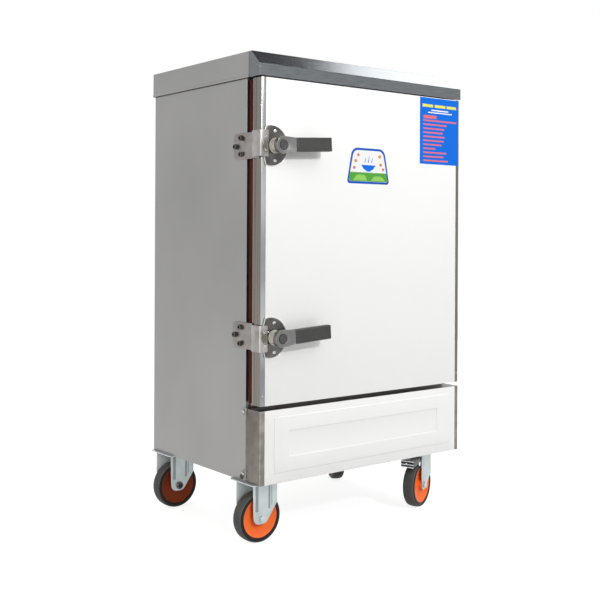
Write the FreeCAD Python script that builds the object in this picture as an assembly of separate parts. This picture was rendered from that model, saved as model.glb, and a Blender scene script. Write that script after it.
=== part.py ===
import FreeCAD, Part
import math

# Rice steamer cabinet: an insulated stainless cabinet on four casters with one
# right-hinged door, two lever latches, six trays and a heated water sump.
# Millimetres. X to the right, Y to the back, Z up from the floor.
# The origin is the middle of the footprint, on the floor.

# Cabinet shell
sheet = 1.0
panel_bend = 2.0
roof_overhang = 5.3
roof_skirt = 65.0
roof_hem_height = 7.0
roof_hem_proud = 0.8
visor_fascia = 30.0
visor_slope = 36.0
visor_depth = 48.0
body_recess = 7.0
rim_inset = 11.0
frame_behind_visor = 20.0
return_flange = 12.0
pan_lip = 20.0
pan_sheet = 1.5

# Door
door_thickness = 36.5
door_below_chamber = 40.5
door_above_chamber = 37.0
door_side_clearance = 1.0
door_to_cover_gap = 12.0
door_to_roof_gap = 3.0
door_field_raise = 9.0
door_field_margin = 52.0
facing_thickness = 0.5
facing_strip = 14.0
door_field_corner = 12.0
gasket_thickness = 18.5
gasket_width = 24.0
gasket_inset = 2.0
gasket_seat_gap = 0.3

# Lower cover
cover_height = 182.5
clip_length = 23.0
clip_height = 20.0
clip_overlap = 6.0
clip_inset = 8.0
clip_screw_from_edge = 19.0

# Chamber, sump and trays
wall_thickness = 40.0
liner_sheet = 1.0
sump_depth = 115.0
sump_inset = 10.0
tray_count = 6
tray_pitch = 115.0
tray_height = 48.0
tray_sheet = 1.0
tray_length = 600.0
tray_width = 400.0
tray_rim = 11.0
tray_corner = 22.0
lowest_rim = 70.0
tray_top_room = 85.0
tray_side_room = 10.0
tray_back_room = 17.5
post_width = 20.0
post_thickness = 3.0
post_spacing = 300.0
post_top_gap = 8.0
runner_sheet = 1.5
runner_height = 14.0
runner_ledge = 16.0

# Heaters, float valve, vent, drain and wiring
heater_count = 3
heater_pitch = 140.0
heater_first = 150.0
heater_leg_spacing = 60.0
heater_tube_radius = 5.5
heater_length = 300.0
heater_above_floor = 35.0
heater_flange_radius = 44.0
heater_flange_thickness = 6.0
heater_terminal = 18.0
valve_from_right = 120.0
valve_below_rim = 27.0
valve_body_radius = 14.0
valve_body_length = 22.0
stem_radius = 10.6
stem_out = 22.0
inlet_radius = 10.4
inlet_bore = 5.25
inlet_bore_depth = 30.0
inlet_nut_radius = 14.0
inlet_nut_length = 5.0
hole_gap = 0.15
float_radius = 24.0
float_reach = 100.0
float_droop = 25.0
float_rod_radius = 3.0
float_ear_half = 7.0
float_eye_radius = 6.5
float_eye_room = 3.0
float_eye_thickness = 6.0
float_pin_radius = 2.5
ear_thickness = 3.0
ear_gap = 0.3
running_gap = 0.05
vent_radius = 12.5
vent_bore = 10.5
vent_out = 28.0
vent_flange_radius = 22.0
vent_flange = 3.0
vent_from_left = 150.0
vent_below_ceiling = 60.0
box_width = 118.0
box_depth = 100.0
box_height = 95.0
box_from_left = 110.0
box_wall = 2.0
box_back_gap = 30.0
box_hole_radius = 7.0
gland_radius = 11.0
gland_bore = 5.0
gland_nut = 14.0
gland_nut_length = 8.0
gland_out = 24.0
gland_cap_radius = 12.5
gland_cap_length = 9.0
gland_height = 50.0
drain_pipe_radius = 10.0
drain_bore = 7.0
drain_from_right = 200.0
drain_from_back = 110.0
drain_drop = 62.0
drain_bend = 26.0
valve_block_radius = 15.0
valve_block_length = 32.0
valve_nipple = 12.0
drain_bore_depth = 30.0
drain_neck_radius = 6.0
drain_neck_height = 3.0
drain_stem_radius = 4.0
drain_boss_radius = 8.0
drain_boss_height = 7.0
drain_stem_height = 8.0
drain_lever_length = 62.0
drain_lever_width = 12.0
drain_lever_thickness = 3.0

# Hinges
hinge_height = 80.0
hinge_from_door_end = 120.0
hinge_plate = 3.0
knuckle_radius = 6.0
hinge_pin_radius = 3.0
hinge_pin_head = 5.0
hinge_pin_head_height = 3.0
knuckle_gap = 0.5
door_leaf_width = 30.0
body_leaf_width = 36.0
leaf_start = 6.0
door_leaf_start = 2.0
hinge_screw_half = 25.0

# Latches
latch_inset = 39.0
latch_from_door_end = 167.5
latch_plate_radius = 51.0
latch_plate_left = 3.5
latch_plate_left_radius = 151.0
latch_plate_centre = 28.0
latch_plate_thickness = 3.0
plate_screw_half = 36.0
plate_screw_reach = 6.0
bracket_sheet = 2.5
bracket_height = 65.0
bracket_gap = 1.4
bracket_leg = 31.0
bracket_lip = 17.5
bracket_bend = 4.5
bracket_shift = (5.0, -1.5)
keeper_sheet = 2.5
keeper_height = 66.0
keeper_back = 117.0
keeper_front = 33.0
keeper_shift = (1.5, 1.5)
keeper_corner = 12.0
keeper_bolt_pair = 80.0
keeper_bolt_half = 20.5
keeper_bolt_single = 104.0
tongue_front = 8.0
tongue_half = 26.0
tongue_drop = 6.0
cam_reach = 42.0
cam_width = 12.0
cam_thickness = 6.0
cam_depth = 12.0
cam_side_gap = 1.0
pocket_gap = 1.5
cam_slot_low = 28.0
cam_slot_high = 9.0
spindle_radius = 8.0
spindle_gap = 0.06
spindle_hole_gap = 0.5
spindle_seat = 4.0
barrel_radius = 19.0
barrel_length = 24.0
barrel_seat_gap = 0.3
lever_head_radius = 21.5
lever_head_thickness = 14.0
lever_neck = 38.5
lever_neck_half = 17.5
lever_cheek = 30.5
lever_tilt = 3.5
grip_length = 111.5
grip_half_height = 17.5
grip_thickness = 18.0
grip_round = 3.0
tang_root = 1.0
tang_length = 90.0
tang_half_height = 11.0
tang_thickness = 7.0
tang_gap = 0.1
plug_radius = 12.5
plug_depth = 1.0
plug_proud = 1.2

# Fasteners
m5_radius = 2.5
m5_head_radius = 4.8
m5_head_height = 2.4
m8_radius = 4.0
m8_head_radius = 6.6
m8_head_height = 8.0
m8_socket_radius = 3.3
m8_socket_depth = 4.5
hex_radius = 7.5
hex_head_height = 5.3
hex_nut_height = 6.5
rivet_radius = 2.4
rivet_head_radius = 3.6
rivet_head_height = 1.6
rivet_half_spacing = 15.8
rivet_from_edge = 10.0

# Casters
caster_height = 157.0
wheel_radius = 63.5
wheel_width = 35.0
rim_radius = 51.0
rim_width = 32.0
rim_wall = 4.0
rim_lip = 3.0
web_half = 4.0
boss_radius = 15.0
boss_half = 19.7
tyre_shoulder = 5.0
tyre_edge = 1.0
tyre_edge_width = 3.0
tyre_flat_start = 7.0
axle_radius = 6.0
axle_head_radius = 10.0
axle_head_height = 6.0
fork_inner = 20.0
fork_sheet = 2.5
caster_plate = 3.0
caster_plate_x = 84.0
caster_plate_y = 105.0
caster_plate_corner = 8.0
caster_hole_x = 64.0
caster_hole_y = 84.0
front_caster_y = 67.0
rear_caster_from_back = 52.5
rigid_axle_inset = 39.0
rigid_leg_left = 26.0
rigid_leg_right = 47.5
rigid_leg_taper = 34.0
rigid_leg_bottom = 14.0
king_inset = 78.0
king_radius = 6.0
race_radius = 29.0
race_height = 6.0
race_gap = 0.3
crown_thickness = 5.5
crown_radius = 30.0
king_nut_radius = 9.5
king_nut_height = 6.0
trail = 33.0
swivel_angles = (21.0, 64.0)
swivel_leg_back = 14.0
swivel_leg_front = 48.0
swivel_leg_taper = 24.5
swivel_leg_bottom = 14.0
brake_pivot_ahead = 40.0
brake_pivot_z = 135.0
brake_pin_radius = 3.0
brake_hub_radius = 6.0
brake_half_width = 19.5
brake_cheek = 3.0
brake_reach = 98.0
brake_top = 142.0
brake_bottom = 120.0
brake_bar = 7.0
brake_roof = 5.0
brake_heel = 7.0
brake_heel_half = 5.0
brake_chamfer = 3.0
brake_foot = 32.0
brake_foot_rise = 2.0
brake_neck = 14.0
brake_neck_drop = 7.0
brake_web = 8.0
rail_width = 88.0
rail_height = 30.0
rail_sheet = 2.5

# How far cutting tools go past what they cut, how near a chosen edge lies, and
# how much flat is left at the tip of a rounded end
cutter = 8.0
tip_flat = 0.5
nudge = 0.1

# Places that follow from the sizes above
chamber_height = lowest_rim + (tray_count - 1) * tray_pitch + tray_top_room
cabinet_width = tray_length + 2 * (tray_side_room + wall_thickness)
cabinet_depth = (door_thickness + gasket_thickness + body_recess + tray_width + tray_back_room
                 + wall_thickness)
door_height = door_below_chamber + chamber_height + door_above_chamber
half_width = cabinet_width / 2
front_y = -cabinet_depth / 2
back_y = cabinet_depth / 2
door_back_y = front_y + door_thickness
frame_y = door_back_y + gasket_thickness
side_front_y = frame_y + body_recess
base_z = caster_height
cover_top = base_z + cover_height
door_bottom = cover_top + door_to_cover_gap
door_top = door_bottom + door_height
skirt_bottom = door_top + door_to_roof_gap
roof_top = skirt_bottom + roof_skirt
roof_half = half_width + roof_overhang
door_half = half_width - door_side_clearance
inner_half = half_width - sheet
inner_back = back_y - sheet
chamber_half = half_width - wall_thickness
chamber_back = back_y - wall_thickness
chamber_floor = door_bottom + door_below_chamber
chamber_top = chamber_floor + chamber_height
sump_floor = chamber_floor - sump_depth
sump_half = chamber_half - sump_inset
sump_front = side_front_y + sump_inset
sump_back = chamber_back - sump_inset
facing_left = -half_width + facing_strip
steel_front = front_y + facing_thickness
pan_front = steel_front + sheet
latch_x = -half_width + latch_inset
latch_zs = (door_top - latch_from_door_end, door_bottom + latch_from_door_end)
latch_names = ("upper", "lower")
hinge_x = half_width + knuckle_radius
hinge_y = frame_y
caster_ys = (front_y + front_caster_y, back_y - rear_caster_from_back)
rigid_axle_x = -half_width + rigid_axle_inset
rigid_centre_x = rigid_axle_x + (rigid_leg_right - rigid_leg_left) / 2
king_x = half_width - king_inset
caster_plate_bottom = base_z - caster_plate
rail_floor = base_z + pan_sheet
drain_x = half_width - drain_from_right
drain_y = back_y - drain_from_back
drain_z = sump_floor - drain_drop
vent_x = -half_width + vent_from_left
vent_z = chamber_top - vent_below_ceiling
valve_x = half_width - valve_from_right
valve_z = chamber_floor - valve_below_rim
gland_x = -half_width + box_from_left + box_width / 2
gland_z = base_z + gland_height
drain_block_end = back_y + valve_block_length

ALONG_X = FreeCAD.Vector(1, 0, 0)
ALONG_Y = FreeCAD.Vector(0, 1, 0)
ALONG_Z = FreeCAD.Vector(0, 0, 1)


def vec(x, y, z):
    return FreeCAD.Vector(x, y, z)


def block(x0, x1, y0, y1, z0, z1):
    """A box between two values on each axis."""
    return Part.makeBox(x1 - x0, y1 - y0, z1 - z0, vec(x0, y0, z0))


def rod(radius, length, start, direction):
    """A solid cylinder from a start point along a direction."""
    return Part.makeCylinder(radius, length, start, direction)


def through(radius, place, axis):
    """A round cutting tool that goes well through a sheet at a point."""
    return rod(radius, 2 * cutter, place - axis * cutter, axis)


def drill(radius, place, axis):
    """The tool for a clearance hole round a shank."""
    return through(radius + hole_gap, place, axis)


def plate_xz(points, y0, y1):
    """A flat plate from an outline of (x, z) points, between two depths."""
    wire = Part.makePolygon([vec(x, y0, z) for x, z in points + points[:1]])
    return Part.Face(wire).extrude(vec(0, y1 - y0, 0))


def profile_yz(points, x0, x1):
    """A bar with an outline of (y, z) points, between two x values."""
    wire = Part.makePolygon([vec(x0, y, z) for y, z in points + points[:1]])
    return Part.Face(wire).extrude(vec(x1 - x0, 0, 0))


def turned(profile, centre, axis):
    """A ring or disc turned from (radius, along) points about an axis."""
    wire = Part.makePolygon([vec(r, 0, a) for r, a in profile + profile[:1]])
    solid = Part.Face(wire).revolve(vec(0, 0, 0), ALONG_Z, 360)
    solid.rotate(vec(0, 0, 0), ALONG_Z.cross(axis), ALONG_Z.getAngle(axis) * 180 / math.pi)
    solid.translate(centre)
    return solid


def joined(shapes):
    """Touching shapes as one solid."""
    result = shapes[0].multiFuse(shapes[1:])
    return result.removeSplitter()


def without(shape, tools):
    """A shape with tools cut out of it."""
    for tool in tools:
        shape = shape.cut(tool)
    return shape


def edges_along(shape, axis, chosen):
    """Straight edges that run along an axis and whose middle passes a test."""
    found = []
    for edge in shape.Edges:
        if len(edge.Vertexes) != 2:
            continue
        run = edge.Vertexes[1].Point - edge.Vertexes[0].Point
        straight = abs(edge.Length - run.Length) < 1e-6
        if straight and abs(abs(run.dot(axis)) - run.Length) < 1e-6 and chosen(edge.CenterOfMass):
            found.append(edge)
    return found


def hexagon(radius, height, centre):
    """A hexagonal head or nut standing on a point, pointing up."""
    corners = []
    for k in range(7):
        angle = math.radians(60 * k)
        corners.append(centre + vec(radius * math.cos(angle), radius * math.sin(angle), 0))
    return Part.Face(Part.makePolygon(corners)).extrude(vec(0, 0, height))


def save(name, solids):
    """Writes one sub-part, which may be a group of separate solids."""
    shape = solids[0] if len(solids) == 1 else Part.makeCompound(solids)
    bad = [s for s in shape.Solids if not s.isClosed() or s.Volume < 1]
    print(name, len(shape.Solids), "solids", round(shape.Volume / 1000, 1), "cm3", "BAD" if bad else "")
    shape.exportStep("parts/" + name + ".step")


def mirrored_pair(solid):
    """A solid and its mirror image on the other side of the cabinet."""
    return [solid, solid.mirror(vec(0, 0, 0), ALONG_X)]


# Holes that several pieces share

def latch_holes(z):
    """The spindle hole through the door front at one latch."""
    return rod(spindle_radius + spindle_hole_gap, door_thickness, vec(latch_x, front_y - cutter, z), ALONG_Y)


def plate_screw_places(z):
    """The two screws of a latch plate, as (x, z)."""
    return [(latch_x, z + side * plate_screw_half) for side in (1, -1)]


def keeper_bolt_places(z):
    """The three bolts of a keeper, as (y, z)."""
    pair = front_y + keeper_bolt_pair
    return [(pair, z + keeper_bolt_half), (pair, z - keeper_bolt_half), (front_y + keeper_bolt_single, z)]


def clip_screw_places():
    """The two cover screws on one side, as (y, z)."""
    y = side_front_y + clip_length / 2 - clip_overlap / 2
    return [(y, cover_top - clip_inset), (y, base_z + clip_screw_from_edge)]


def caster_bolt_places():
    """Every caster bolt, as (x, y)."""
    places = []
    for centre_x in (rigid_centre_x, king_x):
        for centre_y in caster_ys:
            for sx in (-0.5, 0.5):
                for sy in (-0.5, 0.5):
                    places.append((centre_x + sx * caster_hole_x, centre_y + sy * caster_hole_y))
    return places


# Cabinet shell

def side_panels():
    wall = block(-half_width, -inner_half, side_front_y, back_y, base_z, roof_top - sheet)
    turn = block(-half_width, -half_width + return_flange, side_front_y, side_front_y + sheet,
                 rail_floor + rail_height, roof_top - sheet)
    panel = joined([wall, turn])
    corner = edges_along(panel, ALONG_Z, lambda p: p.x < -half_width + nudge and p.y < side_front_y + nudge)
    panel = panel.makeFillet(panel_bend / 2, corner)
    plain = panel.copy()
    for z, shift in zip(latch_zs, keeper_shift):
        for y, bolt_z in keeper_bolt_places(z + shift):
            panel = panel.cut(drill(m8_radius, vec(-half_width, y, bolt_z), ALONG_X))
    left, right = panel, plain.mirror(vec(0, 0, 0), ALONG_X)
    for y, z in clip_screw_places():
        left = left.cut(drill(m5_radius, vec(-half_width, y, z), ALONG_X))
        right = right.cut(drill(m5_radius, vec(half_width, y, z), ALONG_X))
    for y, z in hinge_screw_places(body_leaf_screw_y()):
        right = right.cut(drill(m5_radius, vec(half_width, y, z), ALONG_X))
    save("side_panel_left", [left])
    save("side_panel_right", [right])


def back_panel():
    panel = block(-inner_half, inner_half, inner_back, back_y, base_z, roof_top - sheet)
    holes = [
        drill(vent_radius, vec(vent_x, inner_back, vent_z), ALONG_Y),
        drill(stem_radius, vec(valve_x, inner_back, valve_z), ALONG_Y),
        drill(drain_pipe_radius, vec(drain_x, inner_back, drain_z), ALONG_Y),
        drill(gland_radius, vec(gland_x, inner_back, gland_z), ALONG_Y),
    ]
    save("back_panel", [without(panel, holes)])


def base_pan():
    outer = block(-inner_half, inner_half, pan_front, inner_back, base_z, base_z + pan_lip)
    hollow = block(-inner_half + pan_sheet, inner_half - pan_sheet, pan_front + pan_sheet,
                   inner_back - pan_sheet, base_z + pan_sheet, base_z + pan_lip + cutter)
    holes = [drill(m8_radius, vec(x, y, base_z), ALONG_Z) for x, y in caster_bolt_places()]
    save("base_pan", [without(outer, [hollow] + holes)])


def caster_rails():
    rails = []
    start = pan_front + pan_sheet
    end = inner_back - pan_sheet
    for centre in (rigid_centre_x, king_x):
        outer = block(centre - rail_width / 2, centre + rail_width / 2, start, end,
                      rail_floor, rail_floor + rail_height)
        hollow = block(centre - rail_width / 2 + rail_sheet, centre + rail_width / 2 - rail_sheet,
                       start - cutter, end + cutter, rail_floor + rail_sheet,
                       rail_floor + rail_height + cutter)
        holes = [drill(m8_radius, vec(x, y, rail_floor), ALONG_Z)
                 for x, y in caster_bolt_places() if abs(x - centre) < caster_plate_x]
        rails.append(without(outer, [hollow] + holes))
    save("caster_rails", rails)


def top_cover():
    seam = front_y + visor_depth
    far = back_y + roof_overhang
    outer = block(-roof_half, roof_half, seam, far, skirt_bottom, roof_top)
    hollow = block(-roof_half + sheet, roof_half - sheet, seam - cutter, far - sheet,
                   skirt_bottom - cutter, roof_top - sheet)
    corners = edges_along(outer, ALONG_Z, lambda p: p.y > far - nudge)
    outer = outer.makeFillet(panel_bend, corners)
    hem_outer = block(-roof_half - roof_hem_proud, roof_half + roof_hem_proud, seam, far + roof_hem_proud,
                      skirt_bottom, skirt_bottom + roof_hem_height)
    hem_hollow = block(-roof_half + sheet, roof_half - sheet, seam - cutter, far - sheet,
                       skirt_bottom - cutter, roof_top)
    save("top_cover", [joined([outer.cut(hollow), hem_outer.cut(hem_hollow)])])


def visor_outline(inset):
    """The visor's end outline as (y, z), drawn in by a sheet or not at all."""
    slope = inset * math.tan(math.radians(22.5))
    return [
        (front_y + inset, skirt_bottom + inset),
        (front_y + inset, skirt_bottom + visor_fascia + slope),
        (front_y + visor_slope + slope, roof_top - inset),
        (front_y + visor_depth, roof_top - inset),
        (front_y + visor_depth, skirt_bottom + inset),
    ]


def front_visor():
    outer = profile_yz(visor_outline(0), -roof_half, roof_half)
    hollow = profile_yz(visor_outline(sheet), -roof_half + sheet, roof_half - sheet)
    seam = front_y + visor_depth
    open_back = block(-roof_half + sheet, roof_half - sheet, seam - 2 * sheet, seam + cutter,
                      skirt_bottom - cutter, roof_top - sheet)
    save("front_visor", [without(outer, [hollow, open_back])])


def front_frame():
    """Four channel bars round the chamber's mouth, with their open side at the back."""
    outer_half = half_width - rim_inset
    bottom = cover_top
    top = skirt_bottom + frame_behind_visor
    bars = []
    for side in (-1, 1):
        x0, x1 = sorted((side * chamber_half, side * outer_half))
        bars.append((x0, x1, chamber_floor, chamber_top))
    bars.append((-outer_half, outer_half, bottom, chamber_floor))
    bars.append((-outer_half, outer_half, chamber_top, top))
    solids = []
    for x0, x1, z0, z1 in bars:
        bar = block(x0, x1, frame_y, side_front_y, z0, z1)
        hollow = block(x0 + sheet, x1 - sheet, frame_y + sheet, side_front_y + cutter,
                       z0 + sheet, z1 - sheet)
        solids.append(bar.cut(hollow))
    save("front_frame", solids)


def chamber_liner():
    side = block(-chamber_half - liner_sheet, -chamber_half, side_front_y, chamber_back,
                 chamber_floor, chamber_top)
    back = block(-chamber_half - liner_sheet, chamber_half + liner_sheet, chamber_back,
                 chamber_back + liner_sheet, chamber_floor, chamber_top)
    back = back.cut(drill(vent_radius, vec(vent_x, chamber_back, vent_z), ALONG_Y))
    top = block(-chamber_half - liner_sheet, chamber_half + liner_sheet, side_front_y,
                chamber_back + liner_sheet, chamber_top, chamber_top + liner_sheet)
    save("chamber_liner", mirrored_pair(side) + [back, top])


def cabinet_insulation():
    front = side_front_y + sheet
    side = block(-inner_half, -chamber_half - liner_sheet, front, inner_back, chamber_floor,
                 chamber_top + liner_sheet)
    back = block(-chamber_half - liner_sheet, chamber_half + liner_sheet, chamber_back + liner_sheet,
                 inner_back, chamber_floor, chamber_top + liner_sheet)
    back = back.cut(rod(vent_radius + hole_gap, wall_thickness, vec(vent_x, chamber_back, vent_z), ALONG_Y))
    top = block(-inner_half, inner_half, front, inner_back, chamber_top + liner_sheet, roof_top - sheet)
    save("cabinet_insulation", mirrored_pair(side) + [back, top])


# Sump and what works in it

def heater_xs():
    return [-half_width + heater_first + k * heater_pitch for k in range(heater_count)]


def water_sump():
    flange = block(-chamber_half - liner_sheet, chamber_half + liner_sheet, side_front_y,
                   chamber_back + liner_sheet, chamber_floor - sheet, chamber_floor)
    pan = block(-sump_half, sump_half, sump_front, sump_back, sump_floor, chamber_floor - sheet)
    body = joined([flange, pan])
    hollow = block(-sump_half + sheet, sump_half - sheet, sump_front + sheet, sump_back - sheet,
                   sump_floor + sheet, chamber_floor + cutter)
    holes = [hollow]
    z = sump_floor + heater_above_floor
    for x in heater_xs():
        for side in (-0.5, 0.5):
            place = vec(x + side * heater_leg_spacing, sump_front, z)
            holes.append(drill(heater_tube_radius, place, ALONG_Y))
    holes.append(drill(stem_radius, vec(valve_x, sump_back, valve_z), ALONG_Y))
    holes.append(through(drain_bore, vec(drain_x, drain_y, sump_floor), ALONG_Z))
    save("water_sump", [without(body, holes)])


def heating_elements():
    """Hairpin tubes that stand in the sump, each on its own round flange outside."""
    heaters = []
    z = sump_floor + heater_above_floor
    half = heater_leg_spacing / 2
    start = sump_front - heater_flange_thickness
    far = start + heater_length
    leg_start = start - heater_terminal
    for x in heater_xs():
        legs = [rod(heater_tube_radius, far - leg_start, vec(x + s * half, leg_start, z), ALONG_Y)
                for s in (-1, 1)]
        bend = Part.makeTorus(half, heater_tube_radius, vec(x, far, z), ALONG_Z, 0, 360, 180)
        flange = rod(heater_flange_radius, heater_flange_thickness, vec(x, start, z), ALONG_Y)
        flange = flange.common(block(x - heater_flange_radius, x + heater_flange_radius, start, sump_front,
                                     sump_floor, z + heater_above_floor))
        heaters.append(joined(legs + [bend, flange]))
    save("heating_elements", heaters)


def float_valve():
    """The valve body in the sump, its clevis ears and pin, and the threaded inlet at the back."""
    wall = sump_back - sheet
    body_front = wall - valve_body_length
    body = rod(valve_body_radius, valve_body_length, vec(valve_x, body_front, valve_z), ALONG_Y)
    nut_end = back_y + inlet_nut_length
    stem = rod(stem_radius, nut_end - wall, vec(valve_x, wall, valve_z), ALONG_Y)
    inlet = rod(inlet_radius, stem_out - inlet_nut_length, vec(valve_x, nut_end, valve_z), ALONG_Y)
    bore_start = back_y + stem_out - inlet_bore_depth
    bore = rod(inlet_bore, inlet_bore_depth + cutter, vec(valve_x, bore_start, valve_z), ALONG_Y)
    pivot_y = body_front - float_ear_half - float_eye_room
    inner = float_eye_thickness / 2 + ear_gap
    ears = []
    for side in (-1, 1):
        x0, x1 = sorted((side * inner, side * (inner + ear_thickness)))
        ears.append(block(valve_x + x0, valve_x + x1, pivot_y - float_ear_half, body_front,
                          valve_z - float_ear_half, valve_z + float_ear_half))
    pin_half = inner + ear_thickness
    pin = rod(float_pin_radius, 2 * pin_half, vec(valve_x - pin_half, pivot_y, valve_z), ALONG_X)
    nut = rod(inlet_nut_radius, inlet_nut_length, vec(valve_x, back_y, valve_z), ALONG_Y)
    nut = nut.cut(through(stem_radius, vec(valve_x, back_y, valve_z), ALONG_Y))
    save("float_valve", [joined([body, stem, inlet] + ears + [pin]).cut(bore), nut])
    return pivot_y


def float_arm(pivot_y):
    """The float on its rod, drooping onto the valve's lower stop."""
    pivot = vec(valve_x, pivot_y, valve_z)
    eye = rod(float_eye_radius, float_eye_thickness, pivot - ALONG_X * (float_eye_thickness / 2), ALONG_X)
    arm = rod(float_rod_radius, float_reach, pivot, -ALONG_Y)
    ball = Part.makeSphere(float_radius, pivot - ALONG_Y * float_reach)
    hole = through(float_pin_radius + running_gap, pivot, ALONG_X)
    arm = joined([eye, arm, ball]).cut(hole)
    arm.rotate(pivot, ALONG_X, float_droop)
    save("float_arm", [arm])


def steam_vent():
    length = back_y + vent_out - chamber_back
    tube = rod(vent_radius, length, vec(vent_x, chamber_back, vent_z), ALONG_Y)
    flange = rod(vent_flange_radius, vent_flange, vec(vent_x, back_y, vent_z), ALONG_Y)
    bore = rod(vent_bore, length + 2 * cutter, vec(vent_x, chamber_back - cutter, vent_z), ALONG_Y)
    save("steam_vent", [joined([tube, flange]).cut(bore)])


def terminal_box():
    x0 = -half_width + box_from_left
    y1 = inner_back - box_back_gap
    z0 = base_z + pan_sheet
    outer = block(x0, x0 + box_width, y1 - box_depth, y1, z0, z0 + box_height)
    hollow = block(x0 + box_wall, x0 + box_width - box_wall, y1 - box_depth + box_wall, y1 - box_wall,
                   z0 + box_wall, z0 + box_height - box_wall)
    hole = through(box_hole_radius, vec(gland_x, y1, gland_z), ALONG_Y)
    save("terminal_box", [without(outer, [hollow, hole])])


def cable_gland():
    """A gland through the back panel, with its body reaching the terminal box."""
    y1 = inner_back - box_back_gap
    length = back_y + gland_out - y1
    sleeve = rod(gland_radius, length, vec(gland_x, y1, gland_z), ALONG_Y)
    nut = rod(gland_nut, gland_nut_length, vec(gland_x, back_y, gland_z), ALONG_Y)
    cap_start = back_y + gland_out - gland_cap_length
    cap = rod(gland_cap_radius, gland_cap_length, vec(gland_x, cap_start, gland_z), ALONG_Y)
    bore = rod(gland_bore, length + 2 * cutter, vec(gland_x, y1 - cutter, gland_z), ALONG_Y)
    save("cable_gland", [joined([sleeve, nut, cap]).cut(bore)])


def drain_valve():
    """The pipe from the sump's floor, its bend, and the valve outside the back panel."""
    bend_z = drain_z + drain_bend
    drop = rod(drain_pipe_radius, sump_floor - bend_z, vec(drain_x, drain_y, bend_z), ALONG_Z)
    run_start = drain_y + drain_bend
    elbow = Part.makeTorus(drain_bend, drain_pipe_radius, vec(drain_x, run_start, bend_z), ALONG_X)
    reach = drain_bend + drain_pipe_radius
    corner = block(drain_x - reach, drain_x + reach, drain_y - reach, run_start, drain_z - reach, bend_z)
    elbow = elbow.common(corner)
    end = drain_block_end + valve_nipple
    run = rod(drain_pipe_radius, end - run_start, vec(drain_x, run_start, drain_z), ALONG_Y)
    body = rod(valve_block_radius, valve_block_length, vec(drain_x, back_y, drain_z), ALONG_Y)
    lever_y = back_y + valve_block_length / 2
    middle = vec(drain_x, lever_y, drain_z)
    neck_top = valve_block_radius + drain_neck_height
    neck = rod(drain_neck_radius, neck_top, middle, ALONG_Z)
    stem = rod(drain_stem_radius, neck_top + drain_stem_height, middle, ALONG_Z)
    bore = rod(drain_bore, drain_bore_depth + cutter, vec(drain_x, end - drain_bore_depth, drain_z), ALONG_Y)
    solid = joined([drop, elbow, run, body, neck, stem]).cut(bore)
    save("drain_valve", [solid])


def drain_lever():
    lever_y = back_y + valve_block_length / 2
    z = drain_z + valve_block_radius + drain_neck_height + ear_gap
    boss = rod(drain_boss_radius, drain_boss_height, vec(drain_x, lever_y, z), ALONG_Z)
    arm = block(drain_x - drain_lever_length, drain_x, lever_y - drain_lever_width / 2,
                lever_y + drain_lever_width / 2, z, z + drain_lever_thickness)
    middle = vec(drain_x, lever_y, z + drain_boss_height / 2)
    hole = through(drain_stem_radius + running_gap, middle, ALONG_Z)
    tip = edges_along(arm, ALONG_Z, lambda p: p.x < drain_x - drain_lever_length + nudge)
    arm = arm.makeFillet(drain_lever_width / 2 - tip_flat, tip)
    save("drain_lever", [joined([boss, arm]).cut(hole)])


# Trays

def tray_rim_z(level):
    return chamber_floor + lowest_rim + level * tray_pitch


def tray_racks():
    solids = []
    post_y = (tray_front() * 2 + tray_width) / 2
    for y in (post_y - post_spacing / 2, post_y + post_spacing / 2):
        post = block(-chamber_half, -chamber_half + post_thickness, y - post_width / 2, y + post_width / 2,
                     chamber_floor, chamber_top - post_top_gap)
        solids += mirrored_pair(post)
    x = -chamber_half + post_thickness
    for level in range(tray_count):
        z = tray_rim_z(level) - tray_sheet
        web = block(x, x + runner_sheet, tray_front(), tray_front() + tray_width, z - runner_height, z)
        ledge = block(x, x + runner_ledge, tray_front(), tray_front() + tray_width, z - runner_sheet, z)
        solids += mirrored_pair(joined([web, ledge]))
    save("tray_racks", solids)


def tray_front():
    return side_front_y


def rice_trays():
    trays = []
    y0 = tray_front()
    half = tray_length / 2
    for level in range(tray_count):
        z = tray_rim_z(level)
        rim = block(-half, half, y0, y0 + tray_width, z - tray_sheet, z)
        pan = block(-half + tray_rim, half - tray_rim, y0 + tray_rim, y0 + tray_width - tray_rim,
                    z - tray_height, z - tray_sheet)
        inner = tray_rim + tray_sheet
        hollow = block(-half + inner, half - inner, y0 + inner, y0 + tray_width - inner,
                       z - tray_height + tray_sheet, z + cutter)
        pan = pan.makeFillet(tray_corner, edges_along(pan, ALONG_Z, lambda p: True))
        rim = rim.makeFillet(tray_corner, edges_along(rim, ALONG_Z, lambda p: True))
        hollow = hollow.makeFillet(tray_corner - tray_sheet, edges_along(hollow, ALONG_Z, lambda p: True))
        trays.append(joined([rim, pan]).cut(hollow))
    save("rice_trays", trays)


# Lower cover

def lower_cover():
    outer = block(-half_width, half_width, steel_front, side_front_y, base_z, cover_top)
    bends = edges_along(outer, ALONG_Z, lambda p: p.y < steel_front + nudge)
    outer = outer.makeFillet(panel_bend, bends)
    hollow = block(-inner_half, inner_half, steel_front + sheet, side_front_y + cutter, base_z - cutter,
                   cover_top - sheet)
    solids = [outer.cut(hollow)]
    for y, z in clip_screw_places():
        y0 = side_front_y - clip_overlap
        clip = block(-half_width - sheet, -half_width, y0, y0 + clip_length,
                     z - clip_height / 2, z + clip_height / 2)
        back_end = edges_along(clip, ALONG_X, lambda p: p.y > side_front_y)
        clip = clip.makeFillet(clip_height / 2 - tip_flat, back_end)
        clip = clip.cut(drill(m5_radius, vec(-half_width, y, z), ALONG_X))
        solids += mirrored_pair(clip)
    save("lower_cover", [joined(solids)])


def lower_cover_facing():
    save("lower_cover_facing", [block(facing_left, -facing_left, front_y, steel_front, base_z, cover_top)])


# Door

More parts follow.
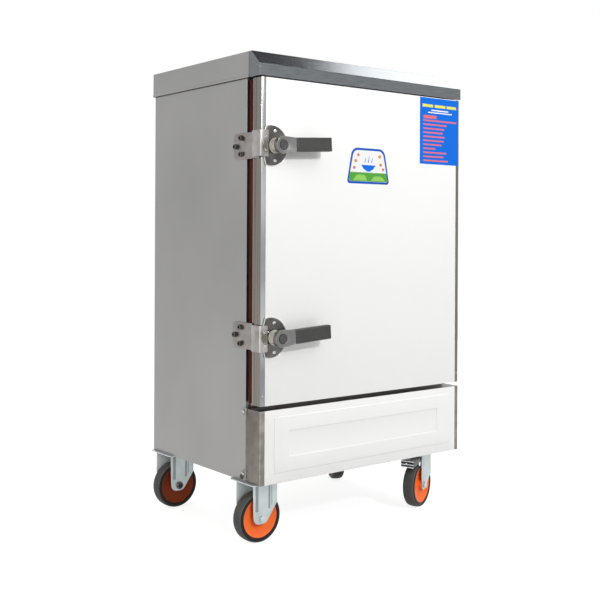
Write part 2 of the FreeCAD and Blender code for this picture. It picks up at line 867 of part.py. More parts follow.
def door_skin():
    outer = block(-door_half, door_half, steel_front, door_back_y - sheet, door_bottom, door_top)
    bends = edges_along(outer, ALONG_Z, lambda p: p.y < steel_front + nudge)
    outer = outer.makeFillet(panel_bend, bends)
    hollow = block(-door_half + sheet, door_half - sheet, steel_front + sheet, door_back_y,
                   door_bottom + sheet, door_top - sheet)
    holes = [hollow]
    for z in latch_zs:
        holes.append(latch_holes(z))
        holes.append(cam_slot(z, -door_half))
        for x, screw_z in plate_screw_places(z):
            holes.append(drill(m5_radius, vec(x, front_y, screw_z), ALONG_Y))
    for y, z in hinge_screw_places(door_leaf_screw_y()):
        holes.append(drill(m5_radius, vec(door_half, y, z), ALONG_X))
    save("door_skin", [without(outer, holes)])


def door_facing():
    sheet_face = block(facing_left, -facing_left, front_y, steel_front, door_bottom, door_top)
    holes = []
    for z in latch_zs:
        holes.append(latch_holes(z))
        for x, screw_z in plate_screw_places(z):
            holes.append(drill(m5_radius, vec(x, front_y, screw_z), ALONG_Y))
    save("door_facing", [without(sheet_face, holes)])


def door_insulation():
    slab = block(-door_half + sheet, door_half - sheet, steel_front + sheet, door_back_y - sheet,
                 door_bottom + sheet, door_top - sheet)
    holes = []
    for z in latch_zs:
        holes.append(latch_holes(z))
        pocket = rod(cam_reach + pocket_gap, cam_thickness + 2 * cam_side_gap,
                     vec(latch_x, front_y + cam_depth - cam_side_gap, z), ALONG_Y)
        holes.append(pocket)
        for x, screw_z in plate_screw_places(z):
            holes.append(through(m5_radius + pocket_gap, vec(x, front_y, screw_z), ALONG_Y))
    for y, z in hinge_screw_places(door_leaf_screw_y()):
        holes.append(through(m5_radius + pocket_gap, vec(door_half, y, z), ALONG_X))
    save("door_insulation", [without(slab, holes)])


def door_liner():
    """The inner panel, with a raised field inside the seal."""
    back = block(-door_half, door_half, door_back_y - sheet, door_back_y, door_bottom, door_top)
    m = door_field_margin
    field = block(-door_half + m, door_half - m, door_back_y, door_back_y + door_field_raise,
                  door_bottom + m, door_top - m)
    ring = edges_along(field, ALONG_Y, lambda p: True)
    field = field.makeFillet(door_field_corner, ring)
    hollow = block(-door_half + m + sheet, door_half - m - sheet, door_back_y - sheet,
                   door_back_y + door_field_raise - sheet, door_bottom + m + sheet, door_top - m - sheet)
    hollow = hollow.makeFillet(door_field_corner - sheet, edges_along(hollow, ALONG_Y, lambda p: True))
    save("door_liner", [joined([back, field]).cut(hollow)])


def door_gasket():
    """Four seal strips, butted at the corners."""
    x1 = door_half - gasket_inset
    x0 = x1 - gasket_width
    z0 = door_bottom + gasket_inset
    z1 = door_top - gasket_inset
    back = frame_y - gasket_seat_gap
    strips = mirrored_pair(block(x0, x1, door_back_y, back, z0 + gasket_width, z1 - gasket_width))
    strips.append(block(-x1, x1, door_back_y, back, z0, z0 + gasket_width))
    strips.append(block(-x1, x1, door_back_y, back, z1 - gasket_width, z1))
    save("door_gasket", strips)


# Hinges

def hinge_zs():
    from_end = hinge_from_door_end + hinge_height / 2
    return (door_top - from_end, door_bottom + from_end)


def body_leaf_screw_y():
    return side_front_y + leaf_start + body_leaf_width / 2


def door_leaf_screw_y():
    return door_back_y - door_leaf_start - door_leaf_width / 2


def hinge_screw_places(y):
    return [(y, z + s * hinge_screw_half) for z in hinge_zs() for s in (-1, 1)]


def knuckle_spans(z):
    """The hinge's three knuckles from the bottom up, as (low, high)."""
    third = hinge_height / 3
    low = z - hinge_height / 2
    return [(low, low + third - knuckle_gap), (low + third, low + 2 * third - knuckle_gap),
            (low + 2 * third, low + hinge_height)]


def hinges():
    body_leaves = []
    door_leaves = []
    pins = []
    bore = hinge_pin_radius + running_gap
    leaf_front = side_front_y + leaf_start
    for z in hinge_zs():
        low, high = z - hinge_height / 2, z + hinge_height / 2
        spans = knuckle_spans(z)
        leaf_back = leaf_front + body_leaf_width
        leaf = block(half_width, half_width + hinge_plate, leaf_front, leaf_back, low, high)
        pieces = [leaf]
        for a, b in (spans[0], spans[2]):
            pieces.append(rod(knuckle_radius, b - a, vec(hinge_x, hinge_y, a), ALONG_Z))
            pieces.append(block(half_width, half_width + hinge_plate, hinge_y, leaf_front, a, b))
        leaf = joined(pieces)
        holes = [rod(bore, hinge_height + 2 * cutter, vec(hinge_x, hinge_y, low - cutter), ALONG_Z)]
        holes += [drill(m5_radius, vec(half_width, y, hz), ALONG_X)
                  for y, hz in hinge_screw_places(body_leaf_screw_y()) if abs(hz - z) < hinge_height]
        body_leaves.append(without(leaf, holes))
        a, b = spans[1]
        leaf = block(door_half, half_width + hinge_plate, door_back_y - door_leaf_start - door_leaf_width,
                     door_back_y - door_leaf_start, low, high)
        strap = block(half_width, half_width + hinge_plate, door_back_y - leaf_start, hinge_y, a, b)
        leaf = joined([leaf, strap, rod(knuckle_radius, b - a, vec(hinge_x, hinge_y, a), ALONG_Z)])
        holes = [rod(bore, hinge_height + 2 * cutter, vec(hinge_x, hinge_y, low - cutter), ALONG_Z)]
        holes += [drill(m5_radius, vec(half_width, y, hz), ALONG_X)
                  for y, hz in hinge_screw_places(door_leaf_screw_y()) if abs(hz - z) < hinge_height]
        door_leaves.append(without(leaf, holes))
        head = rod(hinge_pin_head, hinge_pin_head_height, vec(hinge_x, hinge_y, high), ALONG_Z)
        pin = rod(hinge_pin_radius, hinge_height, vec(hinge_x, hinge_y, low), ALONG_Z)
        pins.append(joined([head, pin]))
    save("hinge_leaves_cabinet", body_leaves)
    save("hinge_leaves_door", door_leaves)
    save("hinge_pins", pins)


# Latches

def cam_slot(z, x):
    """The slot that the latch cam turns through, in a sheet at x."""
    y0 = front_y + cam_depth - cam_side_gap
    y1 = y0 + cam_thickness + 2 * cam_side_gap
    return block(x - cutter, x + cutter, y0, y1, z - cam_slot_low, z + cam_slot_high)


def latch_keepers():
    keepers = []
    for z, shift in zip(latch_zs, keeper_shift):
        centre = z + shift
        plate = block(-half_width - keeper_sheet, -half_width, front_y + keeper_front, front_y + keeper_back,
                      centre - keeper_height / 2, centre + keeper_height / 2)
        back = edges_along(plate, ALONG_X, lambda p: p.y > side_front_y)
        plate = plate.makeFillet(keeper_corner, back)
        middle = centre - tongue_drop
        tongue = block(-half_width - keeper_sheet, -half_width, front_y + tongue_front,
                       front_y + keeper_front, middle - tongue_half, middle + tongue_half)
        keeper = joined([plate, tongue])
        holes = [cam_slot(z, -half_width)]
        for y, bolt_z in keeper_bolt_places(centre):
            holes.append(drill(m8_radius, vec(-half_width, y, bolt_z), ALONG_X))
        keepers.append(without(keeper, holes))
    save("latch_keepers", keepers)


def bracket_rivet_places(z, shift):
    """The two rivets in a bracket's lip, as (x, z)."""
    x = -half_width + rivet_from_edge
    return [(x, z + shift + side * rivet_half_spacing) for side in (-1, 1)]


def latch_plates():
    plates = []
    face = front_y - latch_plate_thickness
    left_centre = -half_width + latch_plate_left + latch_plate_left_radius
    for z, shift in zip(latch_zs, bracket_shift):
        disc = rod(latch_plate_radius, latch_plate_thickness,
                   vec(-half_width + latch_plate_centre, face, z), ALONG_Y)
        plate = disc.common(through(latch_plate_left_radius, vec(left_centre, face, z), ALONG_Y))
        holes = [through(spindle_radius + spindle_gap, vec(latch_x, front_y, z), ALONG_Y)]
        for x, screw_z in plate_screw_places(z):
            holes.append(drill(m5_radius, vec(x, front_y, screw_z), ALONG_Y))
        for x, rivet_z in bracket_rivet_places(z, shift):
            holes.append(drill(rivet_radius, vec(x, front_y, rivet_z), ALONG_Y))
        plates.append(without(plate, holes))
    save("latch_plates", plates)


def latch_brackets():
    """Angles that wrap the door's edge at each latch and cover the keeper's tongue."""
    brackets = []
    lip_back = front_y - latch_plate_thickness
    lip_front = lip_back - bracket_sheet
    inner_x = -half_width - keeper_sheet - bracket_gap
    outer_x = inner_x - bracket_sheet
    for z, shift in zip(latch_zs, bracket_shift):
        z0 = z + shift - bracket_height / 2
        z1 = z0 + bracket_height
        leg = block(outer_x, inner_x, lip_front, front_y + bracket_leg, z0, z1)
        lip = block(outer_x, -half_width + bracket_lip, lip_front, lip_back, z0, z1)
        bracket = joined([leg, lip])
        corner = edges_along(bracket, ALONG_Z, lambda p: p.x < outer_x + nudge and p.y < lip_front + nudge)
        bracket = bracket.makeFillet(bracket_bend, corner)
        holes = [drill(rivet_radius, vec(x, front_y, rivet_z), ALONG_Y)
                 for x, rivet_z in bracket_rivet_places(z, shift)]
        brackets.append(without(bracket, holes))
    save("latch_brackets", brackets)


def latch_screws():
    """Pan-head screws of the latch plates and hinge leaves, and the bracket rivets."""
    solids = []
    seat = front_y - latch_plate_thickness
    for z, shift in zip(latch_zs, bracket_shift):
        for x, screw_z in plate_screw_places(z):
            head = rod(m5_head_radius, m5_head_height, vec(x, seat, screw_z), -ALONG_Y)
            shank = rod(m5_radius, latch_plate_thickness + plate_screw_reach, vec(x, seat, screw_z), ALONG_Y)
            solids.append(joined([head, shank]))
        for x, rivet_z in bracket_rivet_places(z, shift):
            face = vec(x, seat - bracket_sheet, rivet_z)
            head = rod(rivet_head_radius, rivet_head_height, face, -ALONG_Y)
            shank = rod(rivet_radius, bracket_sheet + latch_plate_thickness, face, ALONG_Y)
            solids.append(joined([head, shank]))
    for y, z in hinge_screw_places(door_leaf_screw_y()):
        face = half_width + hinge_plate
        head = rod(m5_head_radius, m5_head_height, vec(face, y, z), ALONG_X)
        shank = rod(m5_radius, hinge_plate + plate_screw_reach, vec(face, y, z), -ALONG_X)
        solids.append(joined([head, shank]))
    save("latch_screws", solids)


def place_latch(solid, z):
    """Moves a latch piece from its own frame, with the spindle on Y, to its place."""
    solid.rotate(vec(0, 0, 0), ALONG_Y, -lever_tilt)
    solid.translate(vec(latch_x, front_y, z))
    return solid


def latch_lever(name, z):
    """The lever with its barrel, flat head and tang, made with the spindle axis at the origin."""
    seat = -latch_plate_thickness - barrel_seat_gap
    head_back = seat - barrel_length
    head_front = head_back - lever_head_thickness
    barrel = rod(barrel_radius, barrel_length, vec(0, head_back, 0), ALONG_Y)
    disc = rod(lever_head_radius, lever_head_thickness, vec(0, head_front, 0), ALONG_Y)
    neck = plate_xz([(0, -lever_neck_half), (lever_neck, -lever_neck_half),
                     (lever_neck, lever_neck_half), (0, lever_neck_half)], head_front, head_back)
    cheek = plate_xz([(0, -lever_head_radius), (lever_cheek, -lever_neck_half),
                      (lever_cheek, lever_neck_half), (0, lever_head_radius)], head_front, head_back)
    middle = (head_front + head_back) / 2
    tang = block(lever_neck - tang_root, lever_neck + tang_length, middle - tang_thickness / 2,
                 middle + tang_thickness / 2, -tang_half_height, tang_half_height)
    lever = joined([barrel, disc, neck, cheek, tang])
    bore = rod(spindle_radius, barrel_length - spindle_seat, vec(0, head_back + spindle_seat, 0), ALONG_Y)
    recess = rod(plug_radius, plug_depth, vec(0, head_front, 0), ALONG_Y)
    lever = without(lever, [bore, recess])
    save(name + "_lever", [place_latch(lever, z)])

    grip = block(lever_neck, lever_neck + grip_length, middle - grip_thickness / 2,
                 middle + grip_thickness / 2, -grip_half_height, grip_half_height)
    grip = grip.makeFillet(grip_round, edges_along(grip, ALONG_X, lambda p: True))
    deep = tang_thickness / 2 + tang_gap
    high = tang_half_height + tang_gap
    tang_start = lever_neck - tang_root
    pocket = block(tang_start, lever_neck + tang_length, middle - deep, middle + deep, -high, high)
    plug = rod(plug_radius, plug_depth + plug_proud, vec(0, head_front - plug_proud, 0), ALONG_Y)
    save(name + "_grip", [place_latch(grip.cut(pocket), z), place_latch(plug, z)])


def latch_cam(name, z):
    """The spindle through the door front, with the cam arm that turns inside the door's edge."""
    seat = -latch_plate_thickness - barrel_seat_gap
    start = seat - barrel_length + spindle_seat
    spindle = rod(spindle_radius, cam_depth + cam_thickness - start, vec(0, start, 0), ALONG_Y)
    arm = block(-cam_width / 2, cam_width / 2, cam_depth, cam_depth + cam_thickness, -cam_reach - cutter, 0)
    arm = arm.common(rod(cam_reach, cam_thickness, vec(0, cam_depth, 0), ALONG_Y))
    cam = joined([spindle, arm])
    cam.translate(vec(latch_x, front_y, z))
    save(name + "_cam", [cam])


# Fasteners on the cabinet

def socket_bolt(place):
    """A socket-head bolt that goes into the left side panel."""
    head = rod(m8_head_radius, m8_head_height, place, -ALONG_X)
    socket = rod(m8_socket_radius, m8_socket_depth, place - ALONG_X * m8_head_height, ALONG_X)
    shank = rod(m8_radius, keeper_sheet + sheet, place, ALONG_X)
    return joined([head.cut(socket), shank])


def cabinet_fasteners():
    """Keeper bolts, cover and hinge screws, and the caster bolts with their nuts."""
    solids = []
    for z, shift in zip(latch_zs, keeper_shift):
        for y, bolt_z in keeper_bolt_places(z + shift):
            solids.append(socket_bolt(vec(-half_width - keeper_sheet, y, bolt_z)))
    for y, z in clip_screw_places():
        head = rod(m5_head_radius, m5_head_height, vec(-half_width - sheet, y, z), -ALONG_X)
        shank = rod(m5_radius, 2 * sheet, vec(-half_width - sheet, y, z), ALONG_X)
        solids += mirrored_pair(joined([head, shank]))
    for y, z in hinge_screw_places(body_leaf_screw_y()):
        face = half_width + hinge_plate
        head = rod(m5_head_radius, m5_head_height, vec(face, y, z), ALONG_X)
        shank = rod(m5_radius, hinge_plate + sheet, vec(face, y, z), -ALONG_X)
        solids.append(joined([head, shank]))
    top = rail_floor + rail_sheet
    for x, y in caster_bolt_places():
        head = hexagon(hex_radius, hex_head_height, vec(x, y, caster_plate_bottom - hex_head_height))
        shank = rod(m8_radius, top - caster_plate_bottom, vec(x, y, caster_plate_bottom), ALONG_Z)
        nut = hexagon(hex_radius, hex_nut_height, vec(x, y, top))
        solids.append(joined([head, shank, nut]))
    save("cabinet_fasteners", solids)


# Casters

def caster_plate_block(x0, x1, centre_y):
    plate = block(x0, x1, centre_y - caster_plate_y / 2, centre_y + caster_plate_y / 2,
                  caster_plate_bottom, base_z)
    return plate.makeFillet(caster_plate_corner, edges_along(plate, ALONG_Z, lambda p: True))


def bolt_holes_near(centre_x, centre_y):
    return [drill(m8_radius, vec(x, y, caster_plate_bottom), ALONG_Z)
            for x, y in caster_bolt_places()
            if abs(x - centre_x) < caster_plate_x and abs(y - centre_y) < caster_plate_y]


def leg_outline(left, right, top, straight, bottom, reach):
    """A fork leg seen from its side: wide above and tapering to a round end at the axle.
    reach is the axle's distance from the outline's own zero."""
    points = [(-left, top), (right, top), (right, straight)]
    for k in range(9):
        angle = math.radians(-30 - 15 * k)
        points.append((reach + bottom * math.cos(angle), wheel_radius + bottom * math.sin(angle)))
    points.append((-left, straight))
    return points


def across_fork(radius, middle):
    """A round bar along Y that goes well through both legs of a fork."""
    half = fork_inner + fork_sheet + cutter
    return rod(radius, 2 * half, middle - ALONG_Y * half, ALONG_Y)


def fork_legs(near_outline, far_outline):
    """Two legs with the wheel between them, the wheel's axle along Y."""
    outside = fork_inner + fork_sheet
    return [plate_xz(near_outline, -outside, -fork_inner), plate_xz(far_outline, fork_inner, outside)]


def rigid_fork(name, centre_y):
    """A plate with two like legs, of which the far one is turned half round."""
    plate = caster_plate_block(rigid_axle_x - rigid_leg_right - sheet, rigid_centre_x + caster_plate_x / 2,
                               centre_y)
    outline = leg_outline(rigid_leg_left, rigid_leg_right, caster_plate_bottom,
                          wheel_radius + rigid_leg_taper, rigid_leg_bottom, 0)
    bore = across_fork(axle_radius + hole_gap, vec(rigid_axle_x, centre_y, wheel_radius))
    turned_round = [(-x, z) for x, z in outline]
    legs = [leg.translated(vec(rigid_axle_x, centre_y, 0)).cut(bore)
            for leg in fork_legs(outline, turned_round)]
    save(name, [without(plate, bolt_holes_near(rigid_centre_x, centre_y))] + legs)


def axle_bolt():
    """A wheel's axle bolt along Y with a head and a nut, its middle at the origin."""
    half = fork_inner + fork_sheet
    shank = rod(axle_radius, 2 * half, vec(0, -half, 0), ALONG_Y)
    head = hexagon(axle_head_radius, axle_head_height, vec(0, 0, 0))
    head.rotate(vec(0, 0, 0), ALONG_X, 90)
    nut = head.copy()
    head.translate(vec(0, -half, 0))
    nut.translate(vec(0, half + axle_head_height, 0))
    return joined([shank, head, nut])


def wheel(prefix, place, angle):
    """A wheel's hub and tyre, with its face turned by an angle about the vertical."""
    bore = axle_radius + running_gap
    half = rim_width / 2
    dish = half - rim_lip
    hub = turned([(bore, -boss_half), (boss_radius, -boss_half), (boss_radius, -web_half),
                  (rim_radius - rim_wall, -web_half), (rim_radius - rim_wall, -dish), (rim_radius, -half),
                  (rim_radius, half), (rim_radius - rim_wall, dish), (rim_radius - rim_wall, web_half),
                  (boss_radius, web_half), (boss_radius, boss_half), (bore, boss_half)],
                 vec(0, 0, 0), ALONG_Y)
    half = wheel_width / 2
    side = [(rim_radius, half), (wheel_radius - tyre_shoulder, half),
            (wheel_radius - tyre_edge, half - tyre_edge_width), (wheel_radius, half - tyre_flat_start)]
    tyre = turned([(r, -a) for r, a in side] + side[::-1], vec(0, 0, 0), ALONG_Y)
    for node, solid in (("_hub", hub), ("_tyre", tyre)):
        solid.rotate(vec(0, 0, 0), ALONG_Z, angle)
        solid.translate(place)
        save(prefix + node, [solid])


def rigid_casters():
    axles = []
    for prefix, centre_y in zip(("front_left", "rear_left"), caster_ys):
        place = vec(rigid_axle_x, centre_y, wheel_radius)
        wheel(prefix, place, 0)
        axles.append(axle_bolt().translated(place))
    rigid_fork("rigid_fork_front", caster_ys[0])
    rigid_fork("rigid_fork_rear", caster_ys[1])
    save("rigid_axles", axles)


def trailing(angle):
    """The way a swivelled wheel trails from its kingpin."""
    return vec(-math.cos(math.radians(angle)), -math.sin(math.radians(angle)), 0)


def swivel_plates():
    solids = []
    race_bottom = caster_plate_bottom - race_height
    crown_bottom = race_bottom - race_gap - crown_thickness
    for centre_y in caster_ys:
        plate = caster_plate_block(king_x - caster_plate_x / 2, king_x + caster_plate_x / 2, centre_y)
        race = rod(race_radius, race_height, vec(king_x, centre_y, race_bottom), ALONG_Z)
        pin_bottom = crown_bottom - race_gap
        pin = rod(king_radius, race_bottom - pin_bottom, vec(king_x, centre_y, pin_bottom), ALONG_Z)
        nut = hexagon(king_nut_radius, king_nut_height, vec(king_x, centre_y, pin_bottom - king_nut_height))
        solids.append(without(plate, bolt_holes_near(king_x, centre_y)))
        solids.append(joined([race, pin, nut]))
    save("swivel_plates", solids)


def brake_outline():
    """The brake pedal seen from its side: a hub end and a deep front end."""
    x = -brake_pivot_ahead
    far = -brake_reach
    return [(x + brake_heel, brake_pivot_z + brake_heel_half), (far, brake_top),
            (far, brake_bottom + brake_chamfer), (far + brake_chamfer, brake_bottom),
            (far + brake_foot, brake_bottom + brake_foot_rise),
            (x - brake_neck, brake_pivot_z - brake_neck_drop),
            (x + brake_heel, brake_pivot_z - brake_heel_half)]


def brake_pedal():
    """A folded pedal with two cheeks, a top, and two treads at its front end."""
    x = -brake_pivot_ahead
    half = brake_half_width
    inner = half - brake_cheek
    pedal = plate_xz(brake_outline(), -half, half)
    under = block(-brake_reach + brake_bar, x - brake_web, -inner, inner,
                  brake_bottom - cutter, brake_top - brake_roof)
    groove = block(-brake_reach - cutter, -brake_reach + brake_bar + nudge, -inner, inner,
                   brake_bottom + brake_bar, brake_top - brake_bar)
    hub = rod(brake_hub_radius, 2 * half, vec(x, -half, brake_pivot_z), ALONG_Y)
    pin_half = fork_inner + fork_sheet
    pin = rod(brake_pin_radius, 2 * pin_half, vec(x, -pin_half, brake_pivot_z), ALONG_Y)
    return joined([without(pedal, [under, groove]), hub, pin])


def swivel_caster(prefix, side, centre_y, angle):
    """A braked swivel caster: crown and legs, axle bolt, brake pedal and wheel.
    Its pieces are drawn trailing towards -X from the kingpin, then turned."""
    crown_top = caster_plate_bottom - race_height - race_gap
    crown_bottom = crown_top - crown_thickness
    crown = rod(crown_radius, crown_thickness, vec(0, 0, crown_bottom), ALONG_Z)
    bridge = block(-swivel_leg_front, swivel_leg_back, -fork_inner, fork_inner, crown_bottom, crown_top)
    beside = block(-2 * crown_radius, 2 * crown_radius, fork_inner, 2 * crown_radius,
                   crown_bottom - cutter, crown_top + cutter)
    between = [beside, beside.mirror(vec(0, 0, 0), ALONG_Y)]
    outline = leg_outline(swivel_leg_front, swivel_leg_back, crown_top, wheel_radius + swivel_leg_taper,
                          swivel_leg_bottom, -trail)
    king_bore = through(king_radius + running_gap, vec(0, 0, crown_bottom), ALONG_Z)
    axle_bore = across_fork(axle_radius + hole_gap, vec(-trail, 0, wheel_radius))
    pin_bore = across_fork(brake_pin_radius + running_gap, vec(-brake_pivot_ahead, 0, brake_pivot_z))
    fork = [without(joined([crown, bridge]), between + [king_bore])]
    fork += [without(leg, [axle_bore, pin_bore]) for leg in fork_legs(outline, outline)]
    axle = axle_bolt().translated(vec(-trail, 0, wheel_radius))

    place = vec(king_x, centre_y, 0)
    nodes = (("_swivel_fork", fork), ("_swivel_axle", [axle]), ("_brake_pedal", [brake_pedal()]))
    for node, solids in nodes:
        for solid in solids:
            solid.rotate(vec(0, 0, 0), ALONG_Z, angle)
            solid.translate(place)
        save(prefix + node, solids)
    wheel(prefix + side, place + trailing(angle) * trail + vec(0, 0, wheel_radius), angle)


def main():
    side_panels()
    back_panel()
    base_pan()
    caster_rails()
    top_cover()
    front_visor()
    front_frame()
    chamber_liner()
    cabinet_insulation()
    water_sump()
    heating_elements()
    float_arm(float_valve())
    steam_vent()
    terminal_box()
    cable_gland()
    drain_valve()
    drain_lever()
    tray_racks()
    rice_trays()
    lower_cover()
    lower_cover_facing()
    door_skin()
    door_facing()
    door_insulation()
    door_liner()
    door_gasket()
    hinges()
    latch_keepers()
    latch_plates()
    latch_brackets()
    latch_screws()
    for name, z in zip(latch_names, latch_zs):
        latch_lever(name, z)
        latch_cam(name, z)
    cabinet_fasteners()
    rigid_casters()
    swivel_plates()
    swivel_caster("front", "_right", caster_ys[0], swivel_angles[0])
    swivel_caster("rear", "_right", caster_ys[1], swivel_angles[1])


main()
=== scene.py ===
# %% [markdown]
# # A rice steamer cabinet, dressed for a portrait
#
# The cabinet's solid frame already exists: sheet-metal body, door, latches and
# casters, each in its true place. This lesson gives that frame its looks. Pieces
# that are good enough get a finish, and pieces that need softer bends, screw
# slots or rolled rims are modelled again and stand in for the plain ones.
# Lengths are in metres. X runs to the cabinet's right, Y to its back, Z up.

# %% Load the frame
import math

import bmesh
import bpy
from mathutils import Matrix, Vector


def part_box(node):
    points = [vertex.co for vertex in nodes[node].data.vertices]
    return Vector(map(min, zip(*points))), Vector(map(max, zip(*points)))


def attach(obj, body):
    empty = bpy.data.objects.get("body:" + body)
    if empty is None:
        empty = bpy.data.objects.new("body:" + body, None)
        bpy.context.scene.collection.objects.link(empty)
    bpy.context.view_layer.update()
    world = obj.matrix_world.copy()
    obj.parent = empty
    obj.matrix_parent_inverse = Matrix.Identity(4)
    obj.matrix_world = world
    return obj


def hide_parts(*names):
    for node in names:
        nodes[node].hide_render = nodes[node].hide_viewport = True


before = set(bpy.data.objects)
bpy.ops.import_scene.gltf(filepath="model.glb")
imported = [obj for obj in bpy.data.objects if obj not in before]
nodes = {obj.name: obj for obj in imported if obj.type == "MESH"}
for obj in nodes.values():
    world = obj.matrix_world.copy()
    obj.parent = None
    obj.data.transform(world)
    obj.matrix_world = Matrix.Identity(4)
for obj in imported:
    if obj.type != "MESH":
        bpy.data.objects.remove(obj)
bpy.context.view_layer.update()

# %% [markdown]
# ## The sizes that the pieces share
#
# Everything is measured from the door's front plane, the floor and the middle of
# the cabinet, so a few named planes are enough to place every new piece.

# %% Planes and places
MM = 0.001
hair = 0.1 * MM  # how far off a picked corner or edge may lie
merging = 0.01 * MM  # corners nearer than this are one
half_width = 0.350
left = -half_width
front = -0.25975
back = 0.25975
door_back = front + 0.0365
side_front = front + 0.062
base = 0.157
cover_top = base + 0.1825
door_bottom = cover_top + 0.012
door_top = door_bottom + 0.8075
skirt_bottom = door_top + 0.003
roof_top = skirt_bottom + 0.065
roof_half = half_width + 0.0053
roof_back = back + 0.0053
latch_x = left + 0.039
latch_heights = {"upper": door_top - 0.1675, "lower": door_bottom + 0.1675}
caster_ys = {"front": front + 0.067, "rear": front + 0.467}
rigid_axle_x = -0.311
king_x = 0.272
wheel_radius = 0.0635
X, Y, Z = Vector((1, 0, 0)), Vector((0, 1, 0)), Vector((0, 0, 1))
print("door from", door_bottom, "to", door_top, "roof at", round(roof_top, 4))

# %% [markdown]
# ## The camera
#
# The photograph was taken from the left front, with the lens a little above half
# height and held level. The picture is cut so that the horizon lies above its
# middle, which a vertical lens shift repeats.

# %% Camera
lens_mm, sensor_mm = 58.77, 36
horizon_shift = -67.6 / 600
camera_place = (-1.7442, -2.20275, 0.77835)
heading, camera_roll = -37.94, 0.29


def rotation(degrees, axis):
    return Matrix.Rotation(math.radians(degrees), 4, axis)


camera_data = bpy.data.cameras.new("portrait_camera")
camera_data.lens = lens_mm
camera_data.sensor_width = sensor_mm
camera_data.sensor_fit = "HORIZONTAL"
camera_data.shift_y = horizon_shift
camera_data.clip_end = 50
camera = bpy.data.objects.new("portrait_camera", camera_data)
bpy.context.scene.collection.objects.link(camera)
level_turn = rotation(heading, "Z") @ rotation(90, "X")
camera.matrix_world = Matrix.Translation(camera_place) @ level_turn @ rotation(camera_roll, "Z")
bpy.context.scene.camera = camera
print("camera at", [round(v, 3) for v in camera_place])

# %% [markdown]
# ## Light
#
# Brushed steel shows mostly what stands round it. A white room with a darker
# ceiling gives the panels an even grey and leaves the sloped visor dark, as in the
# photograph. Four large soft lamps shape the form and one small lamp draws the
# shadow of the door handles. What the eye and a mirror see of the room is brighter
# than the light that falls from it.

# %% Nodes
def shader_node(tree, kind, inputs=(), **settings):
    """A shader node. Each input is fed a number, a colour or another node's socket."""
    node = tree.nodes.new("ShaderNode" + kind)
    for key, value in settings.items():
        setattr(node, key, value)
    for key, value in dict(inputs).items():
        if isinstance(value, bpy.types.NodeSocket):
            tree.links.new(value, node.inputs[key])
        else:
            node.inputs[key].default_value = value
    return node


def math_node(tree, operation, first, second):
    return shader_node(tree, "Math", {0: first, 1: second}, operation=operation).outputs[0]


def seen_directly(tree):
    """1 where the camera or a mirror looks, 0 for light that falls on something else."""
    rays = shader_node(tree, "LightPath").outputs
    return math_node(tree, "MAXIMUM", rays["Is Camera Ray"], rays["Is Glossy Ray"])


# %% World and lamps
bpy.context.scene.view_settings.view_transform = "Standard"
world = bpy.data.worlds.new("pale_room")
bpy.context.scene.world = world
world.use_nodes = True
air = world.node_tree
air.nodes.clear()
way = shader_node(air, "TexCoord").outputs["Generated"]
height = shader_node(air, "SeparateXYZ", {0: way}).outputs["Z"]
ceiling = shader_node(air, "ValToRGB", {0: height})
for stop, position, colour in ((0, 0.30, (1, 1, 1, 1)), (1, 0.62, (0.16, 0.16, 0.17, 1))):
    ceiling.color_ramp.elements[stop].position = position
    ceiling.color_ramp.elements[stop].color = colour
seen = shader_node(air, "Background", {"Color": ceiling.outputs["Color"], "Strength": 1.0})
lit = shader_node(air, "Background", {"Color": (1.0, 0.99, 0.97, 1), "Strength": 0.54})
chosen = shader_node(air, "MixShader", {0: seen_directly(air), 1: lit.outputs[0], 2: seen.outputs[0]})
shader_node(air, "OutputWorld", {"Surface": chosen.outputs[0]})

lamps = {  # place, target, size, power
    "key_lamp": ((0.9, -2.6, 3.2), (0, 0, 0.7), 1.6, 26),
    "shadow_lamp": ((0.15, -3.2, 2.15), (0, 0, 0.6), 0.28, 46),
    "roof_lamp": ((2.4, 0.1, 3.0), (0.2, 0, 1.1), 1.5, 30),
    "side_lamp": ((-2.8, -0.4, 2.2), (0, 0, 0.6), 1.8, 24),
    "back_lamp": ((0.6, 3.0, 2.6), (0, 0, 0.8), 2.0, 30),
}
for name, (place, target, size, power) in lamps.items():
    lamp = bpy.data.lights.new(name, "AREA")
    lamp.shape = "SQUARE"
    lamp.size = size
    lamp.energy = power
    holder = bpy.data.objects.new(name, lamp)
    bpy.context.scene.collection.objects.link(holder)
    aim = Vector(target) - Vector(place)
    holder.matrix_world = Matrix.Translation(place) @ aim.to_track_quat("-Z", "Y").to_matrix().to_4x4()
print("lamps:", list(lamps))

# %% [markdown]
# ## Floor
#
# A plain pale floor that fades into the background: to the camera it is simply
# white except where the cabinet's own shadow falls.

# %% Floor
bpy.ops.object.select_all(action="DESELECT")
bpy.ops.mesh.primitive_plane_add(size=40)
floor = bpy.context.object
floor.name = "floor"
floor_finish = bpy.data.materials.new("studio_floor")
floor_finish.use_nodes = True
tree = floor_finish.node_tree
tree.nodes.clear()
matt = shader_node(tree, "BsdfDiffuse", {"Color": (0.34, 0.34, 0.34, 1)})
glow = shader_node(tree, "Emission", {"Color": (1, 1, 1, 1), "Strength": 0.84})
both = shader_node(tree, "AddShader", {0: matt.outputs[0], 1: glow.outputs[0]})
plain = shader_node(tree, "BsdfDiffuse", {"Color": (0.50, 0.50, 0.50, 1)})
chosen = shader_node(tree, "MixShader", {0: seen_directly(tree), 1: plain.outputs[0], 2: both.outputs[0]})
shader_node(tree, "OutputMaterial", {"Surface": chosen.outputs[0]})
floor.data.materials.append(floor_finish)
print("floor laid")
